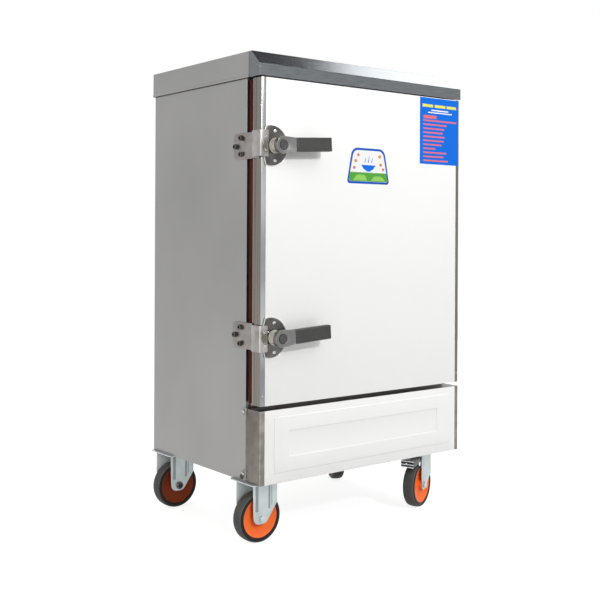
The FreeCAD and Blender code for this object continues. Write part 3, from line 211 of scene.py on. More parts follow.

# %% [markdown]
# ## Finishes
#
# Three effects come back in many finishes, so each is a node group with its own
# inputs: slow patches that change a colour a little, which are smudges on most
# finishes and a painted reflection on the door's lip; fine lines left by a rolling
# mill or a brush; and a mask of edges in a lighter tone, which is wear on most
# finishes and a painted highlight on the latch angles' bends. The shader that turns
# them into steel, paint, plastic or rubber stays in the material itself.

# %% Shared effects
def effect_group(name, inputs, output):
    """A node group with one output: the group, its inputs as sockets, and its result."""
    group = bpy.data.node_groups.new(name, "ShaderNodeTree")
    for socket, value in inputs.items():
        kind = "NodeSocketVector" if isinstance(value, tuple) else "NodeSocketFloat"
        group.interface.new_socket(name=socket, in_out="INPUT", socket_type=kind).default_value = value
    group.interface.new_socket(name=output, in_out="OUTPUT", socket_type="NodeSocketFloat")
    return group, group.nodes.new("NodeGroupInput").outputs, group.nodes.new("NodeGroupOutput").inputs[0]


def spread_about(tree, value, spread, middle):
    """Takes a value about 0.5 and spreads it about another middle."""
    centred = math_node(tree, "SUBTRACT", value, 0.5)
    return math_node(tree, "ADD", math_node(tree, "MULTIPLY", centred, spread), middle)


# slow patches: a soft cloud from 0 to 1, smudges in most finishes and painted reflection on the door lip
slow_patches, given, result = effect_group("slow_patches", {"Size": 6.0, "Contrast": 1.0}, "Mask")
at = shader_node(slow_patches, "TexCoord").outputs["Object"]
cloud = shader_node(slow_patches, "TexNoise", {"Vector": at, "Scale": given["Size"], "Detail": 3.0, "Roughness": 0.45})
slow_patches.links.new(spread_about(slow_patches, cloud.outputs[0], given["Contrast"], 0.5), result)

# fine lines: a noise stretched along one axis
rolled_lines, given, result = effect_group(
    "rolled_lines", {"Stretch": (60.0, 60.0, 4.0), "Contrast": 1.0}, "Height")
at = shader_node(rolled_lines, "TexCoord").outputs["Object"]
pulled = shader_node(rolled_lines, "VectorMath", {0: at, 1: given["Stretch"]}, operation="MULTIPLY")
lines = shader_node(rolled_lines, "TexNoise", {"Vector": pulled.outputs[0], "Scale": 8.0, "Detail": 4.0})
rolled_lines.links.new(spread_about(rolled_lines, lines.outputs[0], given["Contrast"], 0.5), result)

# edges: brighter where the surface turns sharply outwards, as wear and as a painted highlight on bends
wear_and_edge_highlights, given, result = effect_group("wear_and_edge_highlights", {"Reach": 8.0, "Breakup": 40.0}, "Mask")
at = shader_node(wear_and_edge_highlights, "TexCoord").outputs["Object"]
scuffs = shader_node(wear_and_edge_highlights, "TexNoise", {"Vector": at, "Scale": given["Breakup"]})
outward = math_node(wear_and_edge_highlights, "SUBTRACT", shader_node(wear_and_edge_highlights, "NewGeometry").outputs["Pointiness"], 0.5)
outward = math_node(wear_and_edge_highlights, "MULTIPLY", outward, given["Reach"])
broken = math_node(wear_and_edge_highlights, "MULTIPLY", outward, scuffs.outputs[0])
wear_and_edge_highlights.links.new(shader_node(wear_and_edge_highlights, "Clamp", {0: broken}).outputs[0], result)
print("effects:", [g.name for g in bpy.data.node_groups])

# %% [markdown]
# A finish is then a Principled shader with two colours that the patches move
# between, a roughness that the lines move, a little bump, and edges in a lighter
# tone, worn on most finishes and a painted highlight on some bends. Streaky finishes
# let the lines move the colours too. One function places these parts; each finish
# gives its own values.

# %% Finish maker
def triple(value):
    """Three numbers, from three or from one."""
    return value if isinstance(value, tuple) else (value,) * 3


def finish(name, light, dark, metal, rough, rough_play=0.06, smudge=30.0, contrast=1.0, stretch=60,
           line_contrast=1.0, bump=0.01, worn=None, worn_reach=8.0, coat=0.0, specular=0.5, streaks=False):
    """A procedural finish. A colour or a stretch is three numbers, or one for all three."""
    material = bpy.data.materials.new(name)
    material.use_nodes = True
    tree = material.node_tree
    lines = shader_node(tree, "Group", {"Stretch": triple(stretch), "Contrast": line_contrast},
                        node_tree=rolled_lines).outputs[0]
    moved_by = lines if streaks else shader_node(
        tree, "Group", {"Size": smudge, "Contrast": contrast}, node_tree=slow_patches).outputs[0]
    colour = shader_node(tree, "Mix", {"Factor": moved_by, "A": (*triple(dark), 1), "B": (*triple(light), 1)},
                         data_type="RGBA").outputs["Result"]
    if worn:
        edges = shader_node(tree, "Group", {"Reach": worn_reach}, node_tree=wear_and_edge_highlights)
        colour = shader_node(tree, "Mix", {"Factor": edges.outputs[0], "A": colour, "B": (*triple(worn), 1)},
                             data_type="RGBA").outputs["Result"]
    dents = shader_node(tree, "Bump", {"Strength": 1.0, "Distance": bump * MM, "Height": lines})
    shader = tree.nodes["Principled BSDF"]
    tree.links.new(colour, shader.inputs["Base Color"])
    tree.links.new(spread_about(tree, lines, 2 * rough_play, rough), shader.inputs["Roughness"])
    tree.links.new(dents.outputs[0], shader.inputs["Normal"])
    for socket, value in (("Metallic", metal), ("Coat Weight", coat), ("Coat Roughness", 0.08),
                          ("Specular IOR Level", specular)):
        shader.inputs[socket].default_value = value
    return material


# sheet steels
satin_steel = finish("satin_steel", (0.335, 0.332, 0.328), (0.280, 0.278, 0.275), 1.0, 0.30,
                     smudge=3.0, contrast=1.8, stretch=(40, 40, 2), bump=0.012)
inner_steel = finish("inner_steel", (0.52, 0.52, 0.51), (0.46, 0.46, 0.45), 1.0, 0.34,
                     smudge=5.0, stretch=(4, 50, 50))
tray_steel = finish("tray_steel", 0.56, 0.50, 1.0, 0.30, rough_play=0.03,
                    smudge=5.0, stretch=(6, 6, 20), bump=0.003, worn=0.8, worn_reach=4.0)
cover_steel = finish("cover_side_steel", (0.115, 0.099, 0.085), (0.083, 0.071, 0.060), 1.0, 0.30,
                     smudge=9.0, contrast=1.4, stretch=(40, 40, 2), bump=0.012, worn=(0.42, 0.40, 0.37))
door_steel = finish("door_edge_steel", (0.27, 0.25, 0.22), (0.115, 0.11, 0.095), 1.0, 0.26,
                    stretch=(30, 30, 0.2), line_contrast=2.6, bump=0.02, streaks=True)
# painted reflection: broad bright and dark patches in the colour of the polished lip
lip_painted_reflection_steel = finish("door_lip_painted_reflection", (0.56, 0.58, 0.59), (0.17, 0.18, 0.19), 1.0, 0.18,
                   smudge=3.2, contrast=2.8, stretch=(30, 30, 1), bump=0.006)
visor_steel = finish("visor_steel", (0.215, 0.232, 0.245), (0.125, 0.134, 0.140), 1.0, 0.22,
                     stretch=(3, 12, 60), line_contrast=1.6, bump=0.006, streaks=True)

# latches and fittings
bright_steel = finish("bright_steel", 0.50, 0.40, 1.0, 0.16,
                      smudge=10.0, stretch=(3, 60, 60), bump=0.006, worn=(0.75, 0.75, 0.74))
# painted reflection: the latch plates' polished field, nearly black
plate_painted_reflection_steel = finish("dark_polished_steel", (0.040, 0.035, 0.031), (0.022, 0.019, 0.017), 1.0, 0.18,
                    smudge=24.0, contrast=1.6, stretch=40, bump=0.006, worn=(0.62, 0.61, 0.60))
# painted highlight: the latch plates' rim, light and half metallic so it stays bright
rim_painted_highlight_steel = finish("rim_painted_highlight_steel", (0.80, 0.79, 0.76), (0.66, 0.65, 0.62), 0.5, 0.25,
                   smudge=24.0, stretch=40, bump=0.004)
# painted highlight: this finish's light edge tone brightens the angles' bends
bracket_steel = finish("bracket_steel", (0.225, 0.196, 0.181), (0.150, 0.130, 0.120), 1.0, 0.28,
                       stretch=(30, 30, 0.5), line_contrast=2.0, worn=(0.85, 0.85, 0.84), streaks=True)
keeper_steel = finish("keeper_steel", (0.220, 0.190, 0.178), (0.165, 0.142, 0.133), 1.0, 0.34,
                      contrast=1.6, stretch=(3, 40, 40), bump=0.012, worn=(0.60, 0.58, 0.56))
lever_steel = finish("lever_steel", (0.205, 0.205, 0.197), (0.140, 0.140, 0.136), 1.0, 0.38,
                     smudge=12.0, contrast=1.2, stretch=40, bump=0.003, worn=(0.70, 0.70, 0.68))
# painted sheen: a light cream, half-metallic colour that keeps the lever barrels bright
barrel_painted_sheen_steel = finish("barrel_painted_sheen_steel", (0.84, 0.80, 0.72), (0.70, 0.66, 0.58), 0.5, 0.30, rough_play=0.02,
                      smudge=8.0, contrast=0.8, stretch=30, bump=0.001, worn=(0.90, 0.88, 0.82), worn_reach=4.0)
black_oxide = finish("black_oxide", (0.034, 0.030, 0.028), (0.018, 0.016, 0.015), 0.6, 0.36,
                     smudge=60.0, contrast=1.6, worn=(0.34, 0.32, 0.30), worn_reach=10.0)
heater_steel = finish("heater_steel", (0.30, 0.27, 0.24), (0.20, 0.18, 0.17), 1.0, 0.36,
                      contrast=2.0, stretch=(30, 4, 30), bump=0.02)
nickel_brass = finish("nickel_plated_brass", (0.62, 0.58, 0.50), (0.50, 0.46, 0.39), 1.0, 0.22,
                      smudge=40.0, stretch=30, worn=(0.80, 0.74, 0.60))

# zinc
zinc_plate = finish("zinc_plate", (0.52, 0.58, 0.59), (0.42, 0.475, 0.48), 0.62, 0.32, rough_play=0.08,
                    contrast=1.6, stretch=30, bump=0.015, worn=(0.80, 0.85, 0.86))
# painted light: the far fork legs, pale as if lit on their inner faces
far_leg_painted_light_zinc = finish("far_leg_painted_light_zinc", (0.95, 1.0, 1.0), (0.84, 0.90, 0.90), 0.0, 0.45, contrast=1.6, stretch=30)
# painted shade: the darker tone of the legs' sloped bends, laid on as strips
slope_painted_shade_zinc = finish("zinc_painted_slope_shade", (0.30, 0.335, 0.345), (0.20, 0.235, 0.24), 0.7, 0.40,
                   smudge=40.0, stretch=(30, 30, 4))
bright_zinc = finish("bright_zinc", (0.72, 0.76, 0.78), (0.60, 0.64, 0.66), 1.0, 0.26, rough_play=0.08,
                     smudge=60.0, contrast=1.6, stretch=30, worn=(0.90, 0.92, 0.92))

# paint, rubber and plastic
white_coat = finish("white_coat", (0.865, 0.866, 0.864), (0.830, 0.832, 0.832), 0.0, 0.30,
                    smudge=2.0, stretch=20, bump=0.004, coat=0.35)
red_enamel = finish("red_enamel", (0.50, 0.030, 0.022), (0.40, 0.022, 0.018), 0.0, 0.32,
                    smudge=40.0, stretch=50, worn=(0.60, 0.30, 0.26), coat=0.3)
red_rubber = finish("red_rubber", (0.150, 0.020, 0.013), (0.070, 0.011, 0.008), 0.0, 0.70,
                    smudge=14.0, contrast=1.8, stretch=(30, 30, 6), bump=0.05, specular=0.12)
grey_rubber = finish("tread_rubber", (0.088, 0.082, 0.075), (0.060, 0.056, 0.051), 0.0, 0.65,
                     contrast=1.8, bump=0.05, worn=(0.17, 0.16, 0.15), specular=0.3)
side_rubber = finish("side_rubber", (0.012, 0.011, 0.012), (0.008, 0.0075, 0.008), 0.0, 0.45, specular=0.22)
grip_plastic = finish("grip_plastic", (0.033, 0.033, 0.032), (0.022, 0.022, 0.0215), 0.0, 0.50,
                      smudge=60.0, contrast=1.8, stretch=90, bump=0.03, worn=0.12)
cap_plastic = finish("cap_plastic", 0.052, 0.036, 0.0, 0.40, smudge=60.0, stretch=90)
orange_nylon = finish("orange_nylon", (1.0, 0.190, 0.040), (0.94, 0.150, 0.028), 0.0, 0.45,
                      smudge=24.0, bump=0.015, worn=(1.0, 0.34, 0.14), specular=0.15)
# painted shade: the orange nylon darkened for the rear hubs under the cabinet
rear_hub_painted_shade_nylon = finish("orange_nylon_painted_shade", (0.36, 0.055, 0.010), (0.24, 0.036, 0.008), 0.0, 0.50,
                      smudge=24.0, bump=0.015, worn=(0.45, 0.10, 0.03), specular=0.2)
black_nylon = finish("black_nylon", (0.022, 0.022, 0.024), (0.014, 0.014, 0.015), 0.0, 0.42,
                     smudge=40.0, stretch=80, bump=0.02, worn=0.09)
foam = finish("insulating_foam", (0.80, 0.70, 0.42), (0.70, 0.60, 0.34), 0.0, 0.85,
              smudge=50.0, stretch=80, bump=0.3)
print("finishes:", len(bpy.data.materials))

# %% [markdown]
# The frame's own nodes that stay in view now take these finishes.

# %% Dress the frame nodes
node_finishes = {
    satin_steel: ["side_panel_left", "side_panel_right", "back_panel", "base_pan", "caster_rails"],
    cover_steel: ["lower_cover"],
    door_steel: ["door_skin"],
    inner_steel: ["chamber_liner"],
    bright_steel: ["float_arm"],
    black_nylon: ["terminal_box"],
    foam: ["cabinet_insulation", "door_insulation"],
    heater_steel: ["heating_elements"],
}
for material, names in node_finishes.items():
    for name in names:
        nodes[name].data.materials.clear()
        nodes[name].data.materials.append(material)
print("frame nodes that stay:", sum(len(names) for names in node_finishes.values()))

# %% [markdown]
# ## A few hand tools
#
# Each new piece starts from a primitive that is added at its size and place, and
# is then shaped in edit mode. Before every operator the selection is emptied and
# the wanted faces or edges are picked by where they are, because an operator acts
# on all that is selected. Every tool that takes a whole piece leaves edit mode first.

# %% Hand tools: starting a piece
def leave_edit():
    """Goes back to object mode with nothing selected."""
    if bpy.context.mode != "OBJECT":
        bpy.ops.object.mode_set(mode="OBJECT")
    bpy.ops.object.select_all(action="DESELECT")


def hold(piece):
    """Selects one piece alone and makes it active."""
    leave_edit()
    piece.select_set(True)
    bpy.context.view_layer.objects.active = piece


def settle(piece):
    """Moves a piece's place, turn and size into its mesh."""
    hold(piece)
    bpy.ops.object.transform_apply(location=True, rotation=True, scale=True)
    return piece


def start_block(name, low, high):
    """A block between two corners."""
    leave_edit()
    low, high = Vector(low), Vector(high)
    bpy.ops.mesh.primitive_cube_add(size=1, location=(low + high) / 2)
    piece = bpy.context.object
    piece.name = name
    piece.scale = high - low
    return settle(piece)


def start_drum(name, radius, start, end, sides=48):
    """A round bar from one point to another."""
    leave_edit()
    start, end = Vector(start), Vector(end)
    run = end - start
    bpy.ops.mesh.primitive_cylinder_add(vertices=sides, radius=radius, depth=run.length,
                                        location=(start + end) / 2, rotation=run.to_track_quat("Z", "Y").to_euler())
    piece = bpy.context.object
    piece.name = name
    return settle(piece)


# %% Hand tools: editing
def edit(piece, kind="FACE"):
    """Opens a piece for editing with nothing selected."""
    hold(piece)
    bpy.ops.object.mode_set(mode="EDIT")
    bpy.ops.mesh.select_mode(type=kind)
    bpy.ops.mesh.select_all(action="DESELECT")


def edit_whole(piece, kind="FACE"):
    """Opens a piece for editing with all of it selected."""
    edit(piece, kind)
    bpy.ops.mesh.select_all(action="SELECT")


def pick(piece, kind, test):
    """Selects only the faces, edges or corners that pass a test of middle and direction."""
    bpy.ops.mesh.select_mode(type=kind)
    bpy.ops.mesh.select_all(action="DESELECT")
    mesh = bmesh.from_edit_mesh(piece.data)
    if kind == "FACE":
        places = [(face, face.calc_center_median(), face.normal) for face in mesh.faces]
    elif kind == "EDGE":
        ends = [(edge, *[corner.co for corner in edge.verts]) for edge in mesh.edges]
        places = [(edge, (a + b) / 2, (b - a).normalized()) for edge, a, b in ends]
    else:
        places = [(corner, corner.co, corner.normal) for corner in mesh.verts]
    for part, middle, direction in places:
        if test(middle, direction):
            part.select_set(True)
    mesh.select_flush_mode()
    bmesh.update_edit_mesh(piece.data)


def bevel_edges(piece, offset, segments, test):
    """Rounds the picked edges of a piece that is open for editing."""
    pick(piece, "EDGE", test)
    bpy.ops.mesh.bevel(offset=offset, segments=segments, affect="EDGES")


def upright(middle, direction):
    return abs(direction.z) > 0.9


def drop_faces(piece, test):
    """Deletes the picked faces of a piece that is open for editing."""
    pick(piece, "FACE", test)
    bpy.ops.mesh.delete(type="FACE")


def cut_lines(piece, places, direction):
    """Cuts a piece that is open for editing along planes that face a direction."""
    for place in places:
        bpy.ops.mesh.select_all(action="SELECT")
        bpy.ops.mesh.bisect(plane_co=direction * place, plane_no=direction)


def saw_off(point, outward):
    """Takes off all that lies beyond a plane, and closes the cut."""
    bpy.ops.mesh.select_all(action="SELECT")
    bpy.ops.mesh.bisect(plane_co=point, plane_no=Vector(outward).normalized(), use_fill=True, clear_outer=True)


# %% Hand tools: whole pieces
def face_outwards(piece):
    """Merges doubled corners and turns every face outwards."""
    edit_whole(piece)
    bpy.ops.mesh.remove_doubles(threshold=merging)
    bpy.ops.mesh.normals_make_consistent(inside=False)
    leave_edit()
    return piece


def work(piece, kind, **settings):
    """Adds one modifier with its settings and applies it."""
    hold(piece)
    modifier = piece.modifiers.new(kind.lower(), kind)
    for key, value in settings.items():
        setattr(modifier, key, value)
    bpy.ops.object.modifier_apply(modifier=modifier.name)
    return piece


def smooth(piece, angle=40):
    """Shades a piece smooth, except across edges sharper than an angle."""
    hold(piece)
    bpy.ops.object.shade_smooth_by_angle(angle=math.radians(angle))
    return piece


def soften(piece, width, segments=2, angle=30):
    """Rounds every sharp edge and shades the result smooth across the bends."""
    work(piece, "BEVEL", width=width, segments=segments, limit_method="ANGLE",
         angle_limit=math.radians(angle), harden_normals=False, use_clamp_overlap=True)
    return smooth(piece)


def flatten_normals(piece):
    """Lets the broad faces decide the normals, so that they shade flat up to their bends."""
    return work(piece, "WEIGHTED_NORMAL", keep_sharp=True)


def cut_by(piece, *tools, operation="DIFFERENCE"):
    """Takes tools away from a piece, or keeps only what is inside them, and deletes the tools."""
    for tool in tools:
        work(piece, "BOOLEAN", operation=operation, solver="EXACT", object=tool)
        bpy.data.objects.remove(tool)
    return piece


def stood(piece, place, direction, roll=0.0):
    """Stands a piece made on the Z axis on a place, along a direction."""
    turn = Vector(direction).to_track_quat("Z", "Y").to_matrix().to_4x4()
    piece.matrix_world = Matrix.Translation(place) @ turn @ rotation(roll, "Z")
    return settle(piece)


def turned(name, rings, centre=(0, 0, 0), direction=Z, sides=64, hollow=False):
    """A turned piece: a ring of corners drawn out and scaled from (radius, along) to the next.
    A hollow one is closed on itself, any other is capped at both ends."""
    leave_edit()
    radius, along = rings[0]
    bpy.ops.mesh.primitive_circle_add(vertices=sides, radius=radius)
    piece = bpy.context.object
    piece.name = name
    piece.location = (0, 0, along)
    settle(piece)
    edit_whole(piece, "EDGE")
    draw_out = bpy.ops.mesh.extrude_edges_move
    if not hollow:
        draw_out = bpy.ops.mesh.extrude_region_move
        bpy.ops.mesh.edge_face_add()
        bpy.ops.mesh.select_all(action="SELECT")
    for next_radius, next_along in rings[1:] + rings[:1] if hollow else rings[1:]:
        draw_out(TRANSFORM_OT_translate={"value": (0, 0, next_along - along)})
        size = next_radius / radius
        bpy.ops.transform.resize(value=(size, size, 1), center_override=(0, 0, next_along))
        radius, along = next_radius, next_along
    return stood(face_outwards(piece), centre, direction)


def copied(piece, name, move=(0, 0, 0)):
    """A copy with its own mesh, moved."""
    hold(piece)
    bpy.ops.object.duplicate(linked=False)
    twin = bpy.context.object
    twin.name = name
    twin.location = move
    return settle(twin)


def moved(piece, place, turn=Matrix.Identity(4)):
    """Turns a piece made about the origin and moves it to a place."""
    piece.matrix_world = Matrix.Translation(place) @ turn
    return settle(piece)


def joined(name, pieces):
    """Several pieces as one object."""
    hold(pieces[0])
    if len(pieces) > 1:
        for piece in pieces[1:]:
            piece.select_set(True)
        bpy.ops.object.join()
    bpy.context.object.name = name
    return bpy.context.object


def hull_of(name, pieces):
    """The tight skin round several pieces, as one object."""
    shape = joined(name, pieces)
    edit_whole(shape)
    bpy.ops.mesh.convex_hull()
    bpy.ops.mesh.dissolve_limited(angle_limit=math.radians(0.3))
    return face_outwards(shape)


def discard(*pieces):
    for piece in pieces:
        bpy.data.objects.remove(piece)


def place_piece(piece, body, material, slot, *stands_for):
    """Gives a finished piece its material, the body it rides on and the nodes it stands for."""
    piece.data.materials.clear()
    piece.data.materials.append(material)
    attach(piece, body)
    if stands_for:
        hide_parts(*stands_for)
    print(piece.name, "on", body, [round(v, 4) for v in piece.dimensions])


STEEL, POLISHED, ZINC = "stainless_steel", "polished_steel", "zinc_plated_steel"

# %% [markdown]
# ## The visor and the roof
#
# Over the door the roof ends in a folded visor: an upright fascia, a slope that
# leans back at 45 degrees, and closed ends. It starts as a block whose top front
# edge is sawn off by a plane, and the folds are rounded by a bevel. The roof
# behind it is a shallow lid with a hem along its lower edge.

# %% Visor
visor_back = front + 0.048
fascia_top = skirt_bottom + 0.030
slope_back = front + 0.036
seam = 0.0003
visor = start_block("front_visor_shell", (-roof_half, front, skirt_bottom), (roof_half, visor_back - seam, roof_top))
edit(visor)
saw_off((0, front, fascia_top), (0, -(roof_top - fascia_top), slope_back - front))
face_outwards(visor)
soften(visor, 0.0014, segments=4)
place_piece(flatten_normals(visor), "cabinet", visor_steel, STEEL, "front_visor")

# %% Roof lid and hem
hem_proud = 0.0008
hem_top = skirt_bottom + 0.007


def rear_corners(m, d):
    return upright(m, d) and m.y > back


def top_edges(m, d):
    return m.z > roof_top - hair and (abs(m.x) > roof_half - 0.003 or m.y > back)


roof = start_block("roof_lid", (-roof_half, visor_back, skirt_bottom), (roof_half, roof_back, roof_top))
edit(roof)
bevel_edges(roof, 0.0025, 4, rear_corners)
bevel_edges(roof, 0.0012, 3, top_edges)
drop_faces(roof, lambda m, n: n.z < -0.9)
work(roof, "SOLIDIFY", thickness=0.001, offset=-1)
place_piece(flatten_normals(smooth(roof)), "cabinet", satin_steel, STEEL, "top_cover")

# the hem is a doubled strip round the lower edge of the skirt
hem = start_block("roof_hem", (-roof_half - hem_proud, visor_back, skirt_bottom),
                  (roof_half + hem_proud, roof_back + hem_proud, hem_top))
edit(hem)
bevel_edges(hem, 0.003, 4, rear_corners)
drop_faces(hem, lambda m, n: abs(n.z) > 0.9 or n.y < -0.9)
work(hem, "SOLIDIFY", thickness=0.0012, offset=-1)
place_piece(soften(hem, 0.0003), "cabinet", satin_steel, STEEL)

# %% [markdown]
# The visor is spot welded to the roof: two small flattened dots show on each side
# just behind the seam.

# %% Weld dots
welds = [turned("weld_dot", [(0.0026, -0.0001), (0.0022, 0.0003), (0.0008, 0.0004)],
                (side * roof_half, front + 0.058, skirt_bottom + up), X * side, 16)
         for side in (-1, 1) for up in (0.021, 0.045)]
place_piece(smooth(joined("visor_welds", welds)), "cabinet", satin_steel, STEEL)

# %% [markdown]
# ## The door's white face and its steel edges
#
# The door is a steel pan with a white coated panel laid on its front, so a narrow
# steel lip shows along both long sides. The panel is a block whose front edges get
# a small round. The left lip carries a bright strip, in broad bright and dark
# patches of painted reflection, and each lip has a rivet dot near each corner.

# %% Door face
lip_width = 0.014
panel_half = half_width - lip_width
panel_back = front + 0.0005
lip_front = front + 0.0003
panel = start_block("door_face_panel", (-panel_half, front, door_bottom), (panel_half, panel_back, door_top))
place_piece(soften(panel, 0.0002), "door", white_coat, "white_sheet", "door_facing")

# the bright strip: its reflection is painted into its colour
lip = start_block("door_lip_strip", (left, lip_front, door_bottom), (-panel_half - 0.0004, front + 0.0006, door_top))
place_piece(soften(lip, 0.0001), "door", lip_painted_reflection_steel, POLISHED)

rivets = [turned("lip_rivet", [(0.0019, -0.0002), (0.0016, 0.0004), (0.0006, 0.0006)],
                 (side * (half_width - 0.0073), lip_front, z), -Y, 16)
          for side in (-1, 1) for z in (door_bottom + 0.026, door_top - 0.026)]
place_piece(smooth(joined("door_lip_rivets", rivets)), "door", bright_steel, POLISHED)

# %% [markdown]
# ## Door gasket
#
# The seal is one moulded ring of red silicone. A flat block is inset on both faces
# and the two inner faces are bridged, which opens the ring. Cutting planes then add
# loops to its sides, two of them are drawn inwards as grooves, and the rear edge is
# drawn in a little too.

# %% Gasket ring
low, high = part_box("door_gasket")
depth = high[1] - low[1]
middle_z, half_tall = (low[2] + high[2]) / 2, (high[2] - low[2]) / 2
ring_width = 0.024


def draw_in(amount, test):
    """Draws the picked corners of the seal's outer side towards the middle."""
    pick(seal, "VERT", lambda p, n: test(p) and (abs(p.x) > high[0] - 0.002 or abs(p.z - middle_z) > half_tall - 0.002))
    bpy.ops.transform.resize(value=(1 - amount / high[0], 1, 1 - amount / half_tall), center_override=(0, 0, middle_z))


seal = start_block("door_seal", low, high)
edit(seal)
pick(seal, "FACE", lambda m, n: abs(n.y) > 0.9)
bpy.ops.mesh.inset(thickness=ring_width)
bpy.ops.mesh.bridge_edge_loops()
face_outwards(seal)
edit(seal)
cut_lines(seal, [low[1] + share * depth for share in (0.22, 0.30, 0.38, 0.62, 0.70, 0.78)], Y)
for share in (0.30, 0.70):
    groove_y = low[1] + share * depth
    draw_in(0.0030, lambda p: abs(p.y - groove_y) < hair)
draw_in(0.0015, lambda p: p.y > high[1] - hair)
place_piece(soften(seal, 0.0012, 3, angle=25), "door", red_rubber, "red_rubber", "door_gasket")

# %% [markdown]
# ## Door liner
#
# Seen with the door open: a pressed sheet inside the seal with a raised field that
# keeps it stiff. The field is an inset of the back face with rounded corners, pushed
# out a little, and its steps are softened like pressed metal.

# %% Inner sheet of the door
low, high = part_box("door_liner")
field_border, field_round, field_step = 0.052, 0.012, 0.004
liner = start_block("door_inner_sheet", (low[0], door_back - 0.001, low[2]), (high[0], door_back, high[2]))
edit(liner)
pick(liner, "FACE", lambda m, n: n.y > 0.9)
bpy.ops.mesh.inset(thickness=field_border)
bpy.ops.mesh.bevel(offset=field_round, segments=6, affect="VERTICES")
bpy.ops.mesh.select_mode(type="FACE")
pick(liner, "FACE", lambda m, n: n.y > 0.9 and abs(m.x) < 0.02 and abs(m.z - (low[2] + high[2]) / 2) < 0.02)
bpy.ops.mesh.inset(thickness=field_step, depth=high[1] - door_back)
face_outwards(liner)
place_piece(soften(liner, 0.0012, 3, angle=25), "door", inner_steel, STEEL, "door_liner")

# %% [markdown]
# ## The white face of the lower cover
#
# The cover under the door has two stacked fields pressed into its white face: a
# large one that stands out by two millimetres and a smaller one sunk into it.
# Cutting planes lay out each rectangle, and an inset with a depth makes its sloped
# edge.

# %% Cover face
cover_face = start_block("cover_face_panel", (-panel_half, front, base), (panel_half, panel_back, cover_top))
edit(cover_face)
for x0, x1, z0, z1, slope, out in ((-0.308, 0.315, base + 0.025, base + 0.164, 0.0012, 0.0020),
                                   (-0.262, 0.262, base + 0.062, base + 0.1275, 0.0014, -0.0022)):
    cut_lines(cover_face, (x0, x1), X)
    cut_lines(cover_face, (z0, z1), Z)
    pick(cover_face, "FACE", lambda m, n: n.y < -0.9 and x0 < m.x < x1 and z0 < m.z < z1)
    bpy.ops.mesh.inset(thickness=slope, depth=out)
soften(cover_face, 0.0003, angle=12)
place_piece(cover_face, "cabinet", white_coat, "white_sheet", "lower_cover_facing")

# %% [markdown]
# ## Small fasteners
#
# Screws, rivets, socket bolts, nuts and axle heads come back many times. Each is
# modelled once at the origin, standing on the Z axis, and copied to its places:
# a slot is cut by a thin block, and a socket or a hexagon is a six-sided drum.
# The masters themselves are deleted when the last copy is placed.

# %% Fastener masters
pan_screw = turned("pan_screw", [(0.0048, 0), (0.0048, 0.0009), (0.0042, 0.0018), (0.0026, 0.0024), (0.0010, 0.0025)],
                   sides=32)
smooth(cut_by(pan_screw, start_block("slot", (-0.006, -0.0006, 0.0010), (0.006, 0.0006, 0.004))), 30)
rivet = turned("domed_rivet", [(0.0036, 0), (0.0034, 0.0006), (0.0026, 0.0012), (0.0014, 0.00155), (0.0004, 0.0016)],
               sides=24)
smooth(rivet)
socket_bolt = turned("socket_bolt", [(0.0064, 0), (0.0066, 0.0004), (0.0066, 0.0072), (0.0058, 0.0080),
                                     (0.0034, 0.0080)], sides=32)
smooth(cut_by(socket_bolt, start_drum("socket", 0.0034, (0, 0, 0.0034), (0, 0, 0.012), 6)), 30)


def hexagon_piece(name, radius, height, dome):
    """A hexagonal head with a chamfer round its top."""
    head = start_drum(name, radius, (0, 0, 0), (0, 0, height), 6)
    edit(head)
    pick(head, "FACE", lambda m, n: n.z > 0.9)
    bpy.ops.mesh.inset(thickness=radius * 0.16)
    bpy.ops.transform.translate(value=(0, 0, dome))
    return soften(head, radius * 0.04)


nut_end = turned("nut_end", [(0.0044, 0), (0.0044, 0.0074), (0.0036, 0.0082), (0.0006, 0.0082)], sides=20)
hex_nut = joined("hex_nut", [hexagon_piece("hex_nut", 0.0075, 0.0060, 0.0005), smooth(nut_end)])
axle_head = hexagon_piece("axle_head", 0.0100, 0.0053, 0.0007)


def fastener(master, place, direction, roll=0.0):
    """A copy of a master standing on a place along a direction."""
    return stood(copied(master, master.name + "_copy"), place, direction, roll)


# %% [markdown]
# ## Latch plates
#
# Each latch sits on a plate shaped like a D: the overlap of a small disc and a much
# larger one, which a boolean modifier finds. Its polished field is painted nearly
# black for the dark it mirrors, a painted reflection, and its rim is painted bright
# as a highlight.

# %% Latch plates and their rims
disc_x, wide_x, arc_extra = -0.322, -0.1955, 0.100
plate_front, rim_front = front - 0.0026, front - 0.0030


def d_shape(name, radius, y0, y1, z):
    """The overlap of the plate's disc and the wide arc on its left."""
    disc = start_drum(name, radius, (disc_x, y0, z), (disc_x, y1, z), 128)
    wide = start_drum("wide_arc", radius + arc_extra, (wide_x, y0 - 0.01, z), (wide_x, y1 + 0.01, z), 512)
    return cut_by(disc, wide, operation="INTERSECT")


z = latch_heights["upper"]
plate = soften(d_shape("latch_plate", 0.0494, plate_front, front, z), 0.0004)
rim = d_shape("latch_rim", 0.051, rim_front, front, z)
cut_by(rim, d_shape("rim_opening", 0.0492, front - 0.01, front + 0.01, z))
soften(rim, 0.0005)
drop = (0, 0, latch_heights["lower"] - z)
for name, piece, material in (("latch_plate_fields", plate, plate_painted_reflection_steel), ("latch_plate_rims", rim, rim_painted_highlight_steel)):
    pair = joined(name, [piece, copied(piece, "lower_copy", drop)])
    place_piece(pair, "door", material, POLISHED, "latch_plates")

# %% [markdown]
# ## Brackets and keepers
#
# An angle is riveted over each plate and wraps the door's edge. It starts as a
# block; its inner corner is removed by a second block and its outer bend is
# rounded generously. A thin quarter of a tube in bright steel on the bend is a
# painted highlight, the bright line there. The keeper behind it is a thick plate on
# the cabinet with three socket bolts, and its tongue has a slot for the latch's cam.

